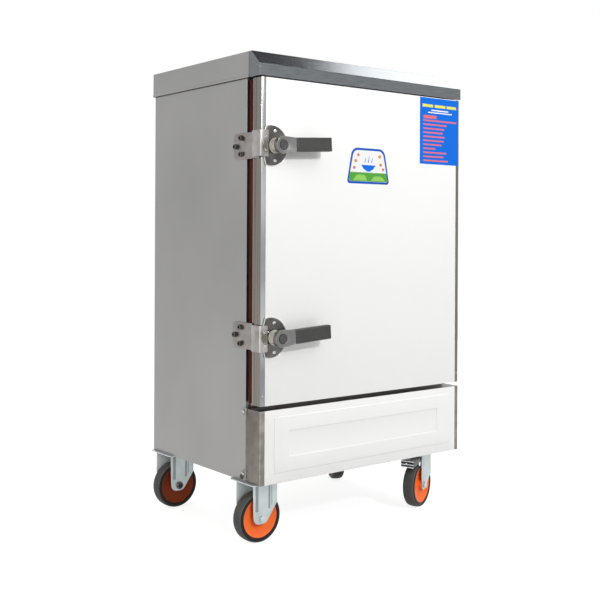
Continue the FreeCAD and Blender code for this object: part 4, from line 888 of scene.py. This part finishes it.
# %% Brackets
bracket_shift = {"upper": 0.005, "lower": -0.0015}
bracket_left, bracket_front = left - 0.0064, front - 0.0055
inside_left, inside_front = left - 0.0039, rim_front
bracket_half = 0.0325
brackets = []
for name, z in latch_heights.items():
    middle = z + bracket_shift[name]
    bracket = start_block("bracket", (bracket_left, bracket_front, middle - bracket_half),
                          (left + 0.0175, front + 0.031, middle + bracket_half))
    cut_by(bracket, start_block("inside", (inside_left, inside_front, middle - 0.05),
                                (half_width, front + 0.05, middle + 0.05)))
    edit(bracket)
    bevel_edges(bracket, 0.0042, 6, lambda m, d: upright(m, d) and m.x < left - 0.006 and m.y < front - 0.005)
    bevel_edges(bracket, 0.0018, 4, lambda m, d: upright(m, d) and abs(m.x - inside_left) < hair and m.y < front)
    brackets.append(soften(bracket, 0.0004))
place_piece(joined("latch_angles", brackets), "door", bracket_steel, STEEL, "latch_brackets")

# %% Keepers
keeper_left = left - 0.0025
keeper_lift = 0.0015
keepers = []
for z in latch_heights.values():
    middle = z + keeper_lift
    keeper = start_block("keeper", (keeper_left, front + 0.033, middle - 0.033), (left, front + 0.117, middle + 0.033))
    edit(keeper)
    bevel_edges(keeper, 0.012, 8, lambda m, d: abs(d.x) > 0.9 and m.y > front + 0.1)
    tongue = start_block("tongue", (keeper_left, front + 0.008, middle - 0.006 - 0.026),
                         (left, front + 0.0335, middle - 0.006 + 0.026))
    cut_by(tongue, start_block("cam_slot", (left - 0.01, front + 0.011, z - 0.028),
                               (left + 0.01, front + 0.019, z + 0.009)))
    keepers += [soften(keeper, 0.0005), soften(tongue, 0.0003)]
place_piece(joined("keeper_plates", keepers), "cabinet", keeper_steel, STEEL, "latch_keepers")

# %% Painted highlights on the bends
bends = [turned("bend_line", [(0.0043, -0.0320), (0.0043, 0.0320)],
                (left - 0.0022, front - 0.0013, z + bracket_shift[name]), sides=48)
         for name, z in latch_heights.items()]
for bend in bends:
    edit(bend)
    drop_faces(bend, lambda m, n: n.x > -0.35 or n.y > -0.35)
    work(bend, "SOLIDIFY", thickness=0.0004, offset=-1)
# painted highlight: a bright strip along each bend
place_piece(joined("bracket_bend_painted_highlights", bends), "door", bright_steel, STEEL)

# %% [markdown]
# ## Levers
#
# A lever has a barrel that turns on the door, a flat round head, a tapering neck and
# a moulded grip. Head and neck are the tight skin round a drum and a block, as a
# forging is. The barrel is turned with a ring at each end and a window cut between
# them; the window stands in for the dark band a polished barrel reflects, and the
# barrel's light cream colour is painted sheen. The grip has a shallow sunk field
# with a border. All are made about the spindle and then tilted and moved to each latch.

# %% Lever, grip and cap
lever_tilt = -3.5
head_back, head_front = -0.0273, -0.0413
grip_start, grip_half = 0.0385, 0.0175


def sunk_field(piece, step, depth, facing):
    """Sinks the front face of a piece behind a border of 1.6 millimetres."""
    edit(piece)
    pick(piece, "FACE", lambda m, n: n.y < -facing)
    bpy.ops.mesh.inset(thickness=0.0016)
    bpy.ops.mesh.inset(thickness=step, depth=-depth)
    leave_edit()
    return piece


barrel = turned("barrel", [(0.0150, 0.0033), (0.0184, 0.0033), (0.0190, 0.0039), (0.0190, 0.0068), (0.0181, 0.0078),
                           (0.0181, 0.0240), (0.0188, 0.0250), (0.0190, 0.0273), (0.0120, 0.0273)], direction=-Y)
# the window's dark notch stands in for the reflection band of a polished barrel
smooth(cut_by(barrel, start_block("window", (-0.030, -0.0215, -0.0095), (-0.0128, -0.0105, 0.0075))), 30)
head = hull_of("head", [start_drum("head", 0.0215, (0, head_front, 0), (0, head_back, 0), 96),
                        start_block("neck", (0.0305, head_front, -grip_half), (grip_start, head_back, grip_half))])
sunk_field(head, 0.0008, 0.0006, 0.9)
cut_by(head, start_drum("recess", 0.0132, (0, -0.06, 0), (0, -0.0400, 0), 64))
soften(head, 0.0005, 3)
grip = soften(start_block("grip", (grip_start, -0.0433, -grip_half), (0.150, -0.0253, grip_half)), 0.0022, segments=4)
smooth(sunk_field(grip, 0.0006, 0.0007, 0.999), 25)
cap = turned("cap", [(0.0125, 0.0398), (0.0125, 0.0412), (0.0118, 0.0422), (0.0100, 0.0425), (0.0085, 0.0421),
                     (0.0006, 0.0421)], direction=-Y)
smooth(cap)
for name, z in latch_heights.items():
    for master, part, material, slot in ((barrel, "lever", barrel_painted_sheen_steel, POLISHED),
                                         (head, "lever", lever_steel, POLISHED),
                                         (grip, "grip", grip_plastic, "black_grip"),
                                         (cap, "grip", cap_plastic, "black_grip")):
        piece = moved(copied(master, name + "_lever_" + master.name), (latch_x, front, z), rotation(lever_tilt, "Y"))
        place_piece(piece, name + "_latch", material, slot, name + "_" + part)
discard(barrel, head, grip, cap)

# %% [markdown]
# ## Screws, rivets and bolts in their places
#
# The door's screws and rivets ride with the door, the others stay with the cabinet.
# Each group of copies is joined into one object per finish. The lowest screw on
# each side of the cover sits on a black cup washer.

# %% Place the fasteners
screw_gap, leaf_screw_gap, hinge_inset = 0.036, 0.025, 0.160
leaf_x = half_width + 0.003
door_leaf_y = door_back - 0.017
body_leaf_y = side_front + 0.024
clip_x, clip_y = half_width + 0.001, side_front + 0.0085
washer_x, washer_y, washer_z = clip_x, side_front + 0.0145, base + 0.0105
on_door, on_rivets, on_cabinet, keeper_bolts, caster_bolts, washers = [], [], [], [], [], []
for name, z in latch_heights.items():
    for side, roll in ((1, 35), (-1, -20)):
        on_door.append(fastener(pan_screw, (latch_x, plate_front, z + side * screw_gap), -Y, roll))
        on_rivets.append(fastener(rivet, (-0.340, bracket_front, z + bracket_shift[name] + side * 0.0158), -Y))
    for y, up in ((0.080, 0.0205), (0.080, -0.0205), (0.104, 0.0)):
        keeper_bolts.append(fastener(socket_bolt, (keeper_left, front + y, z + keeper_lift + up), -X, 11))
for z in (door_top - hinge_inset, door_bottom + hinge_inset):
    for side in (-1, 1):
        on_door.append(fastener(pan_screw, (leaf_x, door_leaf_y, z + side * leaf_screw_gap), X, 50 * side))
        on_cabinet.append(fastener(pan_screw, (leaf_x, body_leaf_y, z + side * leaf_screw_gap), X, 30 * side))
for side in (-1, 1):
    washers.append(turned("washer", [(0.0064, -0.0002), (0.0064, 0.0012), (0.0056, 0.0016), (0.0006, 0.0016)],
                          (side * washer_x, washer_y, washer_z), X * side, 40))
    washers.append(fastener(pan_screw, (side * (half_width + 0.0024), washer_y, washer_z), X * side, 50))
    for z, roll in ((cover_top - 0.008, 20), (base + 0.019, 75)):
        on_cabinet.append(fastener(pan_screw, (side * clip_x, clip_y, z), X * side, roll))
for x in (rigid_axle_x + 0.01075, king_x):
    for y in caster_ys.values():
        for dx in (-0.032, 0.032):
            for dy in (-0.042, 0.042):
                caster_bolts.append(fastener(rivet, (x + dx, y + dy, base - 0.003), -Z))
                caster_bolts.append(fastener(hex_nut, (x + dx, y + dy, base + 0.004), Z, 40))
place_piece(joined("cover_washers", [smooth(w) for w in washers]), "cabinet", black_oxide, "dark_plastic")
place_piece(joined("door_screws", on_door), "door", bright_steel, POLISHED, "latch_screws")
place_piece(joined("bracket_rivets", on_rivets), "door", bright_steel, POLISHED, "latch_screws")
place_piece(joined("cabinet_screws", on_cabinet), "cabinet", bright_steel, POLISHED, "cabinet_fasteners")
place_piece(joined("keeper_bolts", keeper_bolts), "cabinet", black_oxide, "dark_plastic", "cabinet_fasteners")
place_piece(joined("caster_bolts", caster_bolts), "cabinet", zinc_plate, ZINC, "cabinet_fasteners")
discard(pan_screw, rivet, socket_bolt, hex_nut)

# %% [markdown]
# ## Caster wheels
#
# A wheel is a nylon hub in a rubber tyre with a paler tread. All three are turned
# from a ring of corners. The hub has a dished face, a rim ring and a boss; the tyre
# has rounded shoulders, and the tread lies round it. One wheel is made about the
# origin and copied to the four axles.

# %% Wheel masters
def wheel_part(name, sides, half):
    """A ring turned from one half of its outline and the mirror image of that half."""
    rings = [(radius, -along) for radius, along in half] + half[::-1]
    return smooth(turned(name, rings, direction=Y, sides=sides, hollow=True), 35)


hub = wheel_part("hub", 96, [(0.0061, 0.0197), (0.0125, 0.0197), (0.0150, 0.0184), (0.0158, 0.0112), (0.0180, 0.0102),
                             (0.0330, 0.0106), (0.0430, 0.0122), (0.0462, 0.0138), (0.0478, 0.0150), (0.0500, 0.0156),
                             (0.0510, 0.0150)])
tyre = wheel_part("tyre", 128, [(0.0508, 0.0148), (0.0514, 0.0164), (0.0530, 0.0173), (0.0560, 0.0175),
                                (0.0585, 0.0169), (0.0600, 0.0159), (0.0595, 0.0140)])
tread = wheel_part("tread", 128, [(0.0590, 0.0150), (0.0600, 0.0160), (0.0614, 0.0148), (0.0628, 0.0110),
                                  (0.0634, 0.0060), (0.0635, 0.0010)])

# %% [markdown]
# The brake pedals and swivel forks trail from their kingpins, so the two right
# casters are first made straight, with the kingpin on the Z axis, and then turned.
# The rear wheels stand in the cabinet's shade, painted into their hubs' darker orange.

# %% Wheels in their places
trail = 0.033
trail_angles = {"front": 21, "rear": 64}


def trailed(piece, name):
    """Turns a piece made about a kingpin to its caster's angle and moves it there."""
    return moved(piece, (king_x, caster_ys[name], 0), rotation(trail_angles[name], "Z"))


for name, y in caster_ys.items():
    # the rear hubs carry the cabinet's shade as painted shade
    hub_finish = rear_hub_painted_shade_nylon if name == "rear" else orange_nylon
    for side in ("left", "right"):
        wheel = name + "_" + side
        for master, part, material, slot in ((hub, "hub", hub_finish, "orange_hub"),
                                             (tyre, "tyre", side_rubber, "grey_tyre"),
                                             (tread, "tyre", grey_rubber, "grey_tyre")):
            piece = copied(master, wheel + "_" + master.name + "_turned")
            if side == "left":
                moved(piece, (rigid_axle_x, y, wheel_radius))
            else:
                trailed(moved(piece, (-trail, 0, wheel_radius)), name)
            place_piece(piece, wheel + "_wheel", material, slot, wheel + "_" + part)
discard(hub, tyre, tread)

# %% [markdown]
# ## Rigid forks
#
# Each leg of a fixed caster is pressed sheet: the tight skin round a block and two
# round ends, with a raised middle panel. Cutting planes lay out the panel's edges,
# and the corners between them are moved outwards. The far leg is the same leg
# turned half round, in a pale finish that is painted light on its inner face. Thin
# darker strips lie on the slopes beside the panel as painted shade.

# %% Fork legs
axle_z = wheel_radius
plate_thick = 0.003
fork_top = base - plate_thick
leg_outside, leg_inside = 0.0225, 0.0200
plate_half = 0.0525


def pressed_leg(side, block, end_radius, ends, bands, panel_low, raised):
    """A leg on one side of a wheel: a block (x0, z0, x1, z1), round ends (x, z) and a raised panel."""
    y0, y1 = sorted((side * leg_outside, side * leg_inside))
    x0, z0, x1, z1 = block
    parts = [start_block("leg_top", (x0, y0, z0), (x1, y1, z1))]
    parts += [start_drum("leg_end", end_radius, (x, y0, z), (x, y1, z), 40) for x, z in ends]
    leg = hull_of("pressed_leg", parts)
    edit(leg)
    cut_lines(leg, bands, X)
    cut_lines(leg, [panel_low], Z)
    pick(leg, "VERT", lambda p, n: bands[1] - hair < p.x < bands[2] + hair and p.z > panel_low - hair)
    bpy.ops.transform.translate(value=(0, side * raised, 0))
    return soften(leg, 0.0006, 3, angle=12)


def slope_strip(x0, y0, x1, y1, bottom):
    """A thin darker band on a sloped bend of a leg: painted shade of a slope that faces away from the light."""
    band = start_block("slope_shade_band", (x0, -leg_inside, axle_z + bottom), (x1, -leg_inside + 0.0002, fork_top))
    edit(band)
    for x, y in ((x0, y0), (x1, y1)):
        pick(band, "VERT", lambda p, n: abs(p.x - x) < hair and p.y < -leg_inside + hair)
        bpy.ops.transform.translate(value=(0, y + leg_inside, 0))
    return band


def caster_plate(x0, y0, x1, y1):
    """A caster's top plate with rounded corners."""
    plate = start_block("caster_plate", (x0, y0, fork_top), (x1, y1, base))
    edit(plate)
    bevel_edges(plate, 0.008, 6, upright)
    return soften(plate, 0.0005)


strips = []
for name, y in caster_ys.items():
    place = (rigid_axle_x, y, 0)
    strips.append(moved(joined("leg_slope_shade_bands", [slope_strip(-0.0195, -0.0227, -0.0125, -0.0249, 0.018),
                                             slope_strip(0.0185, -0.0249, 0.0250, -0.0238, 0.022),
                                             slope_strip(0.0290, -0.0231, 0.0315, -0.0227, 0.029)]), place))
    near = pressed_leg(-1, (-0.026, axle_z + 0.034, 0.0475, fork_top), 0.0185,
                       [(x, axle_z + 0.0035) for x in (-0.0065, 0.004)],
                       (-0.0185, -0.0130, 0.0190, 0.0315), axle_z + 0.016, 0.0022)
    boss = turned("leg_boss", [(0.0128, 0.0220), (0.0122, 0.0241), (0.0105, 0.0247), (0.0006, 0.0247)],
                  (0, 0, axle_z), -Y, 40)
    near = joined("near_leg", [near, smooth(boss)])
    far = moved(copied(near, "far_leg"), (0, 0, 0), rotation(180, "Z"))
    plate = caster_plate(-0.0485, -plate_half, 0.05275, plate_half)
    # the far leg's pale finish is painted light
    for piece, look, material in ((near, "near_leg", zinc_plate), (far, "far_leg", far_leg_painted_light_zinc),
                                  (plate, "plate", zinc_plate)):
        piece.name = name + "_fork_" + look
        place_piece(moved(piece, place), "cabinet", material, ZINC, "rigid_fork_" + name)
# painted shade on the slopes of the rigid fork legs
place_piece(joined("leg_slope_shade_strips", strips), "cabinet", slope_painted_shade_zinc, ZINC)

# %% [markdown]
# ## Axle bolts
#
# The front left wheel shows a light hexagon head and the rear left one a dark ring
# nut, so the two masters differ; the right wheels have hexagon heads on both sides.

# %% Axles
ring_nut = turned("ring_nut", [(0.0100, 0), (0.0104, 0.0006), (0.0104, 0.0042), (0.0096, 0.0052), (0.0062, 0.0052),
                               (0.0052, 0.0030), (0.0006, 0.0030)], sides=40)
smooth(ring_nut)


def axle_piece(name, near_head, face):
    """A bolt across a fork along Y, made about the wheel's middle."""
    bar = turned("axle_bar", [(0.0055, -0.0225), (0.0060, -0.0220), (0.0060, 0.0220), (0.0055, 0.0225)],
                 direction=Y, sides=32)
    return joined(name, [smooth(bar), fastener(near_head, (0, -face, 0), -Y, 12),
                         fastener(axle_head, (0, face, 0), Y, 34)])


for name, near_head, material in (("front", axle_head, zinc_plate), ("rear", ring_nut, black_oxide)):
    axle = moved(axle_piece(name + "_axle", near_head, 0.0243), (rigid_axle_x, caster_ys[name], wheel_radius))
    place_piece(axle, "cabinet", material, ZINC, "rigid_axles")

# %% [markdown]
# ## Swivel forks
#
# A swivel fork has a round crown under the ball race and two legs that lead back to
# the axle. The race itself is a turned ring with a groove, and its plate is bolted
# to the cabinet.

# %% Swivel forks and races
race_bottom = fork_top - 0.006
crown_top = race_bottom - 0.0003
crown_bottom = crown_top - 0.0055
pin_bottom = crown_bottom - 0.0003
for name, y in caster_ys.items():
    legs = [pressed_leg(side, (-0.048, axle_z + 0.0245, 0.014, crown_top), 0.014, [(-trail, axle_z)],
                        (-0.042, -0.037, -0.018, -0.010), axle_z + 0.018, 0.0018) for side in (-1, 1)]
    crown = start_drum("crown", 0.030, (0, 0, crown_bottom), (0, 0, crown_top), 64)
    cut_by(crown, start_block("beside", (-0.05, leg_inside, 0.1), (0.05, 0.05, 0.2)),
           start_block("beside", (-0.05, -0.05, 0.1), (0.05, -leg_inside, 0.2)),
           start_drum("king_bore", 0.00605, (0, 0, 0.1), (0, 0, 0.2), 32))
    bridge = start_block("bridge", (-0.048, -leg_inside, crown_bottom), (-0.026, leg_inside, crown_top))
    fork = joined(name + "_swivel_fork_shell", legs + [soften(part, 0.0005) for part in (crown, bridge)])
    place_piece(trailed(fork, name), name + "_swivel", zinc_plate, ZINC, name + "_swivel_fork")
    axle = moved(axle_piece(name + "_swivel_axle_bolt", axle_head, 0.0225), (-trail, 0, wheel_radius))
    place_piece(trailed(axle, name), name + "_swivel", zinc_plate, ZINC, name + "_swivel_axle")

races = []
for y in caster_ys.values():
    plate = caster_plate(king_x - 0.042, y - plate_half, king_x + 0.042, y + plate_half)
    race = turned("race", [(0.0006, 0.0060), (0.0290, 0.0060), (0.0290, 0.0042), (0.0276, 0.0034), (0.0276, 0.0026),
                           (0.0290, 0.0018), (0.0290, 0.0)], (king_x, y, fork_top), -Z)
    pin = start_drum("kingpin", 0.0060, (king_x, y, pin_bottom), (king_x, y, race_bottom), 32)
    races += [plate, smooth(race, 30), pin, fastener(axle_head, (king_x, y, pin_bottom), -Z, 9)]
place_piece(joined("swivel_races", races), "cabinet", zinc_plate, ZINC, "swivel_plates")
discard(axle_head, ring_nut)

# %% [markdown]
# ## Brake pedals
#
# Each right caster has a folded pedal in front of its wheel: two cheeks joined by a
# top, and two treads with a dark gap between them. Planes saw the outline out of a
# block, and blocks cut the hollow and the gap. Bright ribs and ears are its trim.

# %% Brake pedals
pedal_x, far_x = -0.040, -0.098
pedal_half, hollow_half = 0.0195, 0.0165
pin_z, rear_x = 0.135, pedal_x + 0.007
ear_x, ear_z = pedal_x - 0.016, 0.1265
pedal = start_block("pedal", (far_x, -pedal_half, 0.120), (rear_x, pedal_half, 0.142))
edit(pedal)
for point, outward in (((far_x + 0.003, 0, 0.120), (-1, 0, -1)), ((pedal_x - 0.014, 0, 0.128), (0.19, 0, -1)),
                       ((rear_x, 0, 0.130), (0.10, 0, -1)), ((rear_x, 0, 0.140), (0.03, 0, 1))):
    saw_off(point, outward)
face_outwards(pedal)
cut_by(pedal, start_block("hollow", (far_x + 0.007, -hollow_half, 0.100), (pedal_x - 0.008, hollow_half, 0.137)),
       start_block("gap", (far_x - 0.01, -hollow_half, 0.127), (far_x + 0.0071, hollow_half, 0.135)))
knuckle = start_drum("knuckle", 0.006, (pedal_x, -pedal_half, pin_z), (pedal_x, pedal_half, pin_z), 32)
pin = turned("pin", [(0.0030, -0.0223), (0.0030, 0.0223)], (pedal_x, 0, pin_z), Y, 24)
pedal = joined("pedal", [soften(pedal, 0.0010, 3), smooth(knuckle), smooth(pin)])
trim = [start_block("rib", (far_x - 0.0004, -0.0190, z), (far_x + 0.0010, 0.0190, z + 0.0022))
        for z in (0.1215, 0.1290, 0.1378)]
trim += [start_block("rib", (x, -0.0185, 0.1412), (x + 0.004, 0.0185, 0.1424))
         for x in (far_x + 0.006, far_x + 0.022, far_x + 0.038)]
trim += [start_drum("ear", 0.0065, (ear_x, y, ear_z), (ear_x, y + 0.0014, ear_z), 32) for y in (-0.0199, 0.0185)]
trim = soften(joined("pedal_trim", trim), 0.0003)
for name in caster_ys:
    for master, look, material in ((pedal, "lever", black_oxide), (trim, "trim", bright_zinc)):
        piece = trailed(copied(master, name + "_brake_" + look), name)
        place_piece(piece, name + "_brake", material, ZINC, name + "_brake_pedal")
discard(pedal, trim)

# %% [markdown]
# ## Two printed labels
#
# Two vinyl labels are stuck on the door. Their prints are plain and generic: a bowl
# with steam over a green band on one, and rows of bars on the other. Every printed
# shape is a thin sheet of its own on top of the label, so each keeps a crisp edge.

# %% Prints
print_colours = {
    "blue": (0.006, 0.085, 0.50), "sky": (0.001, 0.150, 0.72), "white": (0.86, 0.87, 0.87),
    "green": (0.085, 0.36, 0.05), "leaf": (0.30, 0.60, 0.12), "pink": (0.80, 0.16, 0.17),
    "yellow": (0.85, 0.78, 0.10), "orange": (0.75, 0.28, 0.10),
}
vinyls = {name: finish("print_" + name, colour, tuple(0.9 * c for c in colour), 0.0, 0.50, bump=0.003, specular=0.15)
          for name, colour in print_colours.items()}
vinyl_step, vinyl_thick = 0.00012, 0.00015


def badge(level, x0, z0, x1, z1, top=None, low_round=0, top_round=0):
    """A flat sheet on a level of the print, with its own top width and rounded corners."""
    y_back = front - vinyl_step * level
    sheet = start_block("print", (x0, y_back - vinyl_thick, z0), (x1, y_back, z1))
    edit(sheet)
    for side, shift in ((-1, top[0] - x0), (1, top[1] - x1)) if top else ():
        pick(sheet, "VERT", lambda p, n: p.z > z1 - hair and (p.x - (x0 + x1) / 2) * side > 0)
        bpy.ops.transform.translate(value=(shift, 0, 0))
    if low_round:
        bevel_edges(sheet, low_round, 8, lambda m, d: abs(d.y) > 0.9 and m.z < z0 + hair)
    if top_round:
        bevel_edges(sheet, top_round, 8, lambda m, d: abs(d.y) > 0.9 and m.z > z1 - hair)
    return sheet


def spot(radius, x, z, flat):
    """A round or oval printed dot."""
    y_back = front - vinyl_step * 2
    dot = start_drum("dot", radius, (x, y_back, z), (x, y_back - vinyl_thick, z), 40)
    edit_whole(dot)
    bpy.ops.transform.resize(value=(1, 1, flat), center_override=(x, front, z))
    return dot


def place_prints(label, parts):
    for number, (colour, pieces) in enumerate(parts.items()):
        place_piece(joined(label + "_%d" % number, pieces), "door", vinyls[colour], "white_sheet")


# %% Picture label
low = base + 0.751
place_prints("picture_label", {
    "blue": [badge(0, -0.0755, low, 0.0755, low + 0.0945, (-0.057, 0.057), 0.010, 0.018)],
    "white": [badge(1, -0.0695, low + 0.006, 0.0695, low + 0.0885, (-0.0515, 0.0515), 0.006, 0.014)],
    "green": [badge(2, -0.0690, low + 0.0065, 0.0690, low + 0.030, (-0.0650, 0.0650), 0.006)],
    "leaf": [badge(3, -0.055, low + 0.0085, -0.005, low + 0.024, (-0.040, -0.012), 0.002, 0.006),
             badge(3, 0.008, low + 0.0085, 0.060, low + 0.021, (0.020, 0.048), 0.002, 0.006)],
    "sky": [badge(2, -0.014, low + 0.036, 0.014, low + 0.050, (-0.026, 0.026), 0.006, 0.001),
            badge(2, -0.009, low + 0.033, 0.009, low + 0.036, (-0.007, 0.007))]
           + [badge(2, x - 0.0016, low + 0.056, x + 0.0016, low + 0.070 + rise, (x + 0.001, x + 0.0042), 0.001, 0.001)
              for x, rise in ((-0.013, 0.0), (-0.001, 0.005), (0.011, 0.001))],
    "orange": [spot(0.0052, x, low + z, 0.85) for x, z in ((-0.045, 0.060), (0.044, 0.052), (0.040, 0.074))],
    "pink": [spot(0.0045, x, low + z, 0.9) for x, z in ((-0.050, 0.042), (-0.036, 0.076), (0.053, 0.040))],
})

# %% Bar label
list_left, list_right = 0.191, 0.3455
list_low, list_top = base + 0.8145, door_top - 0.0015
row_start, row_step = list_top - 0.066, 0.0112


def bar(inset, share, z, height):
    """A printed bar that takes a share of the label's width."""
    x0 = list_left + inset
    return badge(1, x0, z, x0 + share * (list_right - list_left), z + height)


place_prints("bar_label", {
    "sky": [badge(0, list_left, list_low, list_right, list_top)],
    "yellow": [bar(0.010 + 0.048 * k, share, list_top - 0.0262, 0.0078) for k, share in enumerate((0.27, 0.28, 0.25))],
    "white": [bar(0.045, 0.44, list_top - 0.0362, 0.0036), bar(0.032, 0.62, list_top - 0.0424, 0.0030)],
    "pink": [bar(0.014, 0.33, list_top - 0.0580, 0.0088)]
            + [bar(0.013, share, row_start - row_step * k, 0.0042)
               for k, share in enumerate((0.86, 0.60, 0.54, 0.50, 0.55, 0.53, 0.47, 0.31, 0.60, 0.52, 0.64))],
})

# %% [markdown]
# ## Trays
#
# Six deep steel trays stand on the racks. One is drawn up from a block with rounded
# corners: its open top edge is extruded outwards as a rim and then down as a rolled
# lip, and the sheet gets its thickness last. The other five are copies.

# %% Trays
tray_wide, tray_deep, tray_tall, rim_wide = 0.600, 0.400, 0.048, 0.011
tray_pitch = 0.115
first_rim = base + 0.305
tray_floor = first_rim - tray_tall
tray = start_block("tray", (-tray_wide / 2 + rim_wide, side_front + rim_wide, tray_floor),
                   (tray_wide / 2 - rim_wide, side_front + tray_deep - rim_wide, first_rim))
edit(tray)
bevel_edges(tray, 0.022, 6, upright)
bevel_edges(tray, 0.006, 4, lambda m, d: m.z < tray_floor + hair and abs(d.z) < 0.1)
drop_faces(tray, lambda m, n: n.z > 0.9)
pick(tray, "EDGE", lambda m, d: m.z > first_rim - hair)
tray_middle = (0, side_front + tray_deep / 2, first_rim)
for wide, drop in (((tray_wide - 0.004) / (tray_wide - 2 * rim_wide), 0.0), (tray_wide / (tray_wide - 0.004), -0.0015),
                   (1.0, -0.0035), ((tray_wide - 0.003) / tray_wide, -0.0012)):
    deep = 1 + (wide - 1) * (tray_wide / tray_deep)
    bpy.ops.mesh.extrude_edges_move(TRANSFORM_OT_translate={"value": (0, 0, drop)})
    bpy.ops.transform.resize(value=(wide, deep, 1), center_override=tray_middle)
face_outwards(tray)
smooth(work(tray, "SOLIDIFY", thickness=0.0008, offset=-1), 35)
trays = [tray] + [copied(tray, "tray_copy", (0, 0, tray_pitch * k)) for k in range(1, 6)]
place_piece(joined("steam_trays", trays), "cabinet", tray_steel, STEEL, "rice_trays")

# %% [markdown]
# ## Softer copies of frame pieces
#
# Hinges, the rear fittings and the inner pieces have the right shape already and
# only lack the small rounds that catch the light. A copy of the frame's mesh is
# merged, its flat faces are dissolved into whole ones, and its edges are bevelled.

# %% Soften frame pieces
softened = {  # round, finish, slot, body
    "hinge_leaves_cabinet": (0.0006, bracket_steel, STEEL, "cabinet"),
    "hinge_leaves_door": (0.0006, bracket_steel, STEEL, "door"),
    "hinge_pins": (0.0006, bright_steel, STEEL, "cabinet"),
    "drain_valve": (0.0008, nickel_brass, "plated_brass", "cabinet"),
    "drain_lever": (0.0008, red_enamel, "painted_lever", "drain_handle"),
    "steam_vent": (0.0005, bracket_steel, STEEL, "cabinet"),
    "float_valve": (0.0005, nickel_brass, "plated_brass", "cabinet"),
    "front_frame": (0.0004, satin_steel, STEEL, "cabinet"),
    "upper_cam": (0.0006, bright_steel, POLISHED, "upper_latch"),
    "lower_cam": (0.0006, bright_steel, POLISHED, "lower_latch"),
    "water_sump": (0.0006, inner_steel, STEEL, "cabinet"),
    "tray_racks": (0.0004, inner_steel, STEEL, "cabinet"),
}
for node, (width, material, slot, body) in softened.items():
    twin = copied(nodes[node], node + "_soft")
    edit_whole(twin)
    bpy.ops.mesh.remove_doubles(threshold=merging)
    bpy.ops.mesh.dissolve_limited(angle_limit=math.radians(0.5))
    place_piece(soften(twin, width), body, material, slot, node)

# %% [markdown]
# ## Cable gland
#
# A black nylon gland clamps the supply cable where it enters the back. Its body is
# turned, its nut is a hexagon, and its clamping cap is ribbed: every second side
# face of the cap is drawn outwards a little.

# %% Cable gland
gland_at = Vector((-0.181, back, 0.207))
rib_degrees = 7.5


def ribbed(m, n):
    across = Vector((m.x - gland_at.x, 0, m.z - gland_at.z))
    step = math.degrees(math.atan2(across.z, across.x)) // rib_degrees
    return abs(n.y) < 0.3 and across.length > 0.0115 and int(step) % 2 == 0


shank = turned("gland_body", [(0.0050, -0.031), (0.0110, -0.031), (0.0110, 0.016), (0.0118, 0.0160), (0.0118, 0.0240),
                              (0.0090, 0.0240), (0.0072, 0.0240), (0.0050, 0.0215)], gland_at, Y, 48, hollow=True)
nut = turned("gland_nut", [(0.0112, 0.0002), (0.0134, 0.0002), (0.0140, 0.0008), (0.0140, 0.0072), (0.0134, 0.0080),
                           (0.0112, 0.0080)], gland_at, Y, 6, hollow=True)
cap = turned("gland_cap", [(0.0112, 0.0150), (0.0119, 0.0150), (0.0119, 0.0160), (0.0119, 0.0220), (0.0108, 0.0240),
                           (0.0070, 0.0240)], gland_at, Y, 48, hollow=True)
edit(cap)
pick(cap, "FACE", ribbed)
bpy.ops.mesh.extrude_faces_move(TRANSFORM_OT_shrink_fatten={"value": -0.0006})
gland = joined("gland_shell", [smooth(shank, 30), soften(nut, 0.0004), cap])
place_piece(gland, "cabinet", black_nylon, "dark_plastic", "cable_gland")
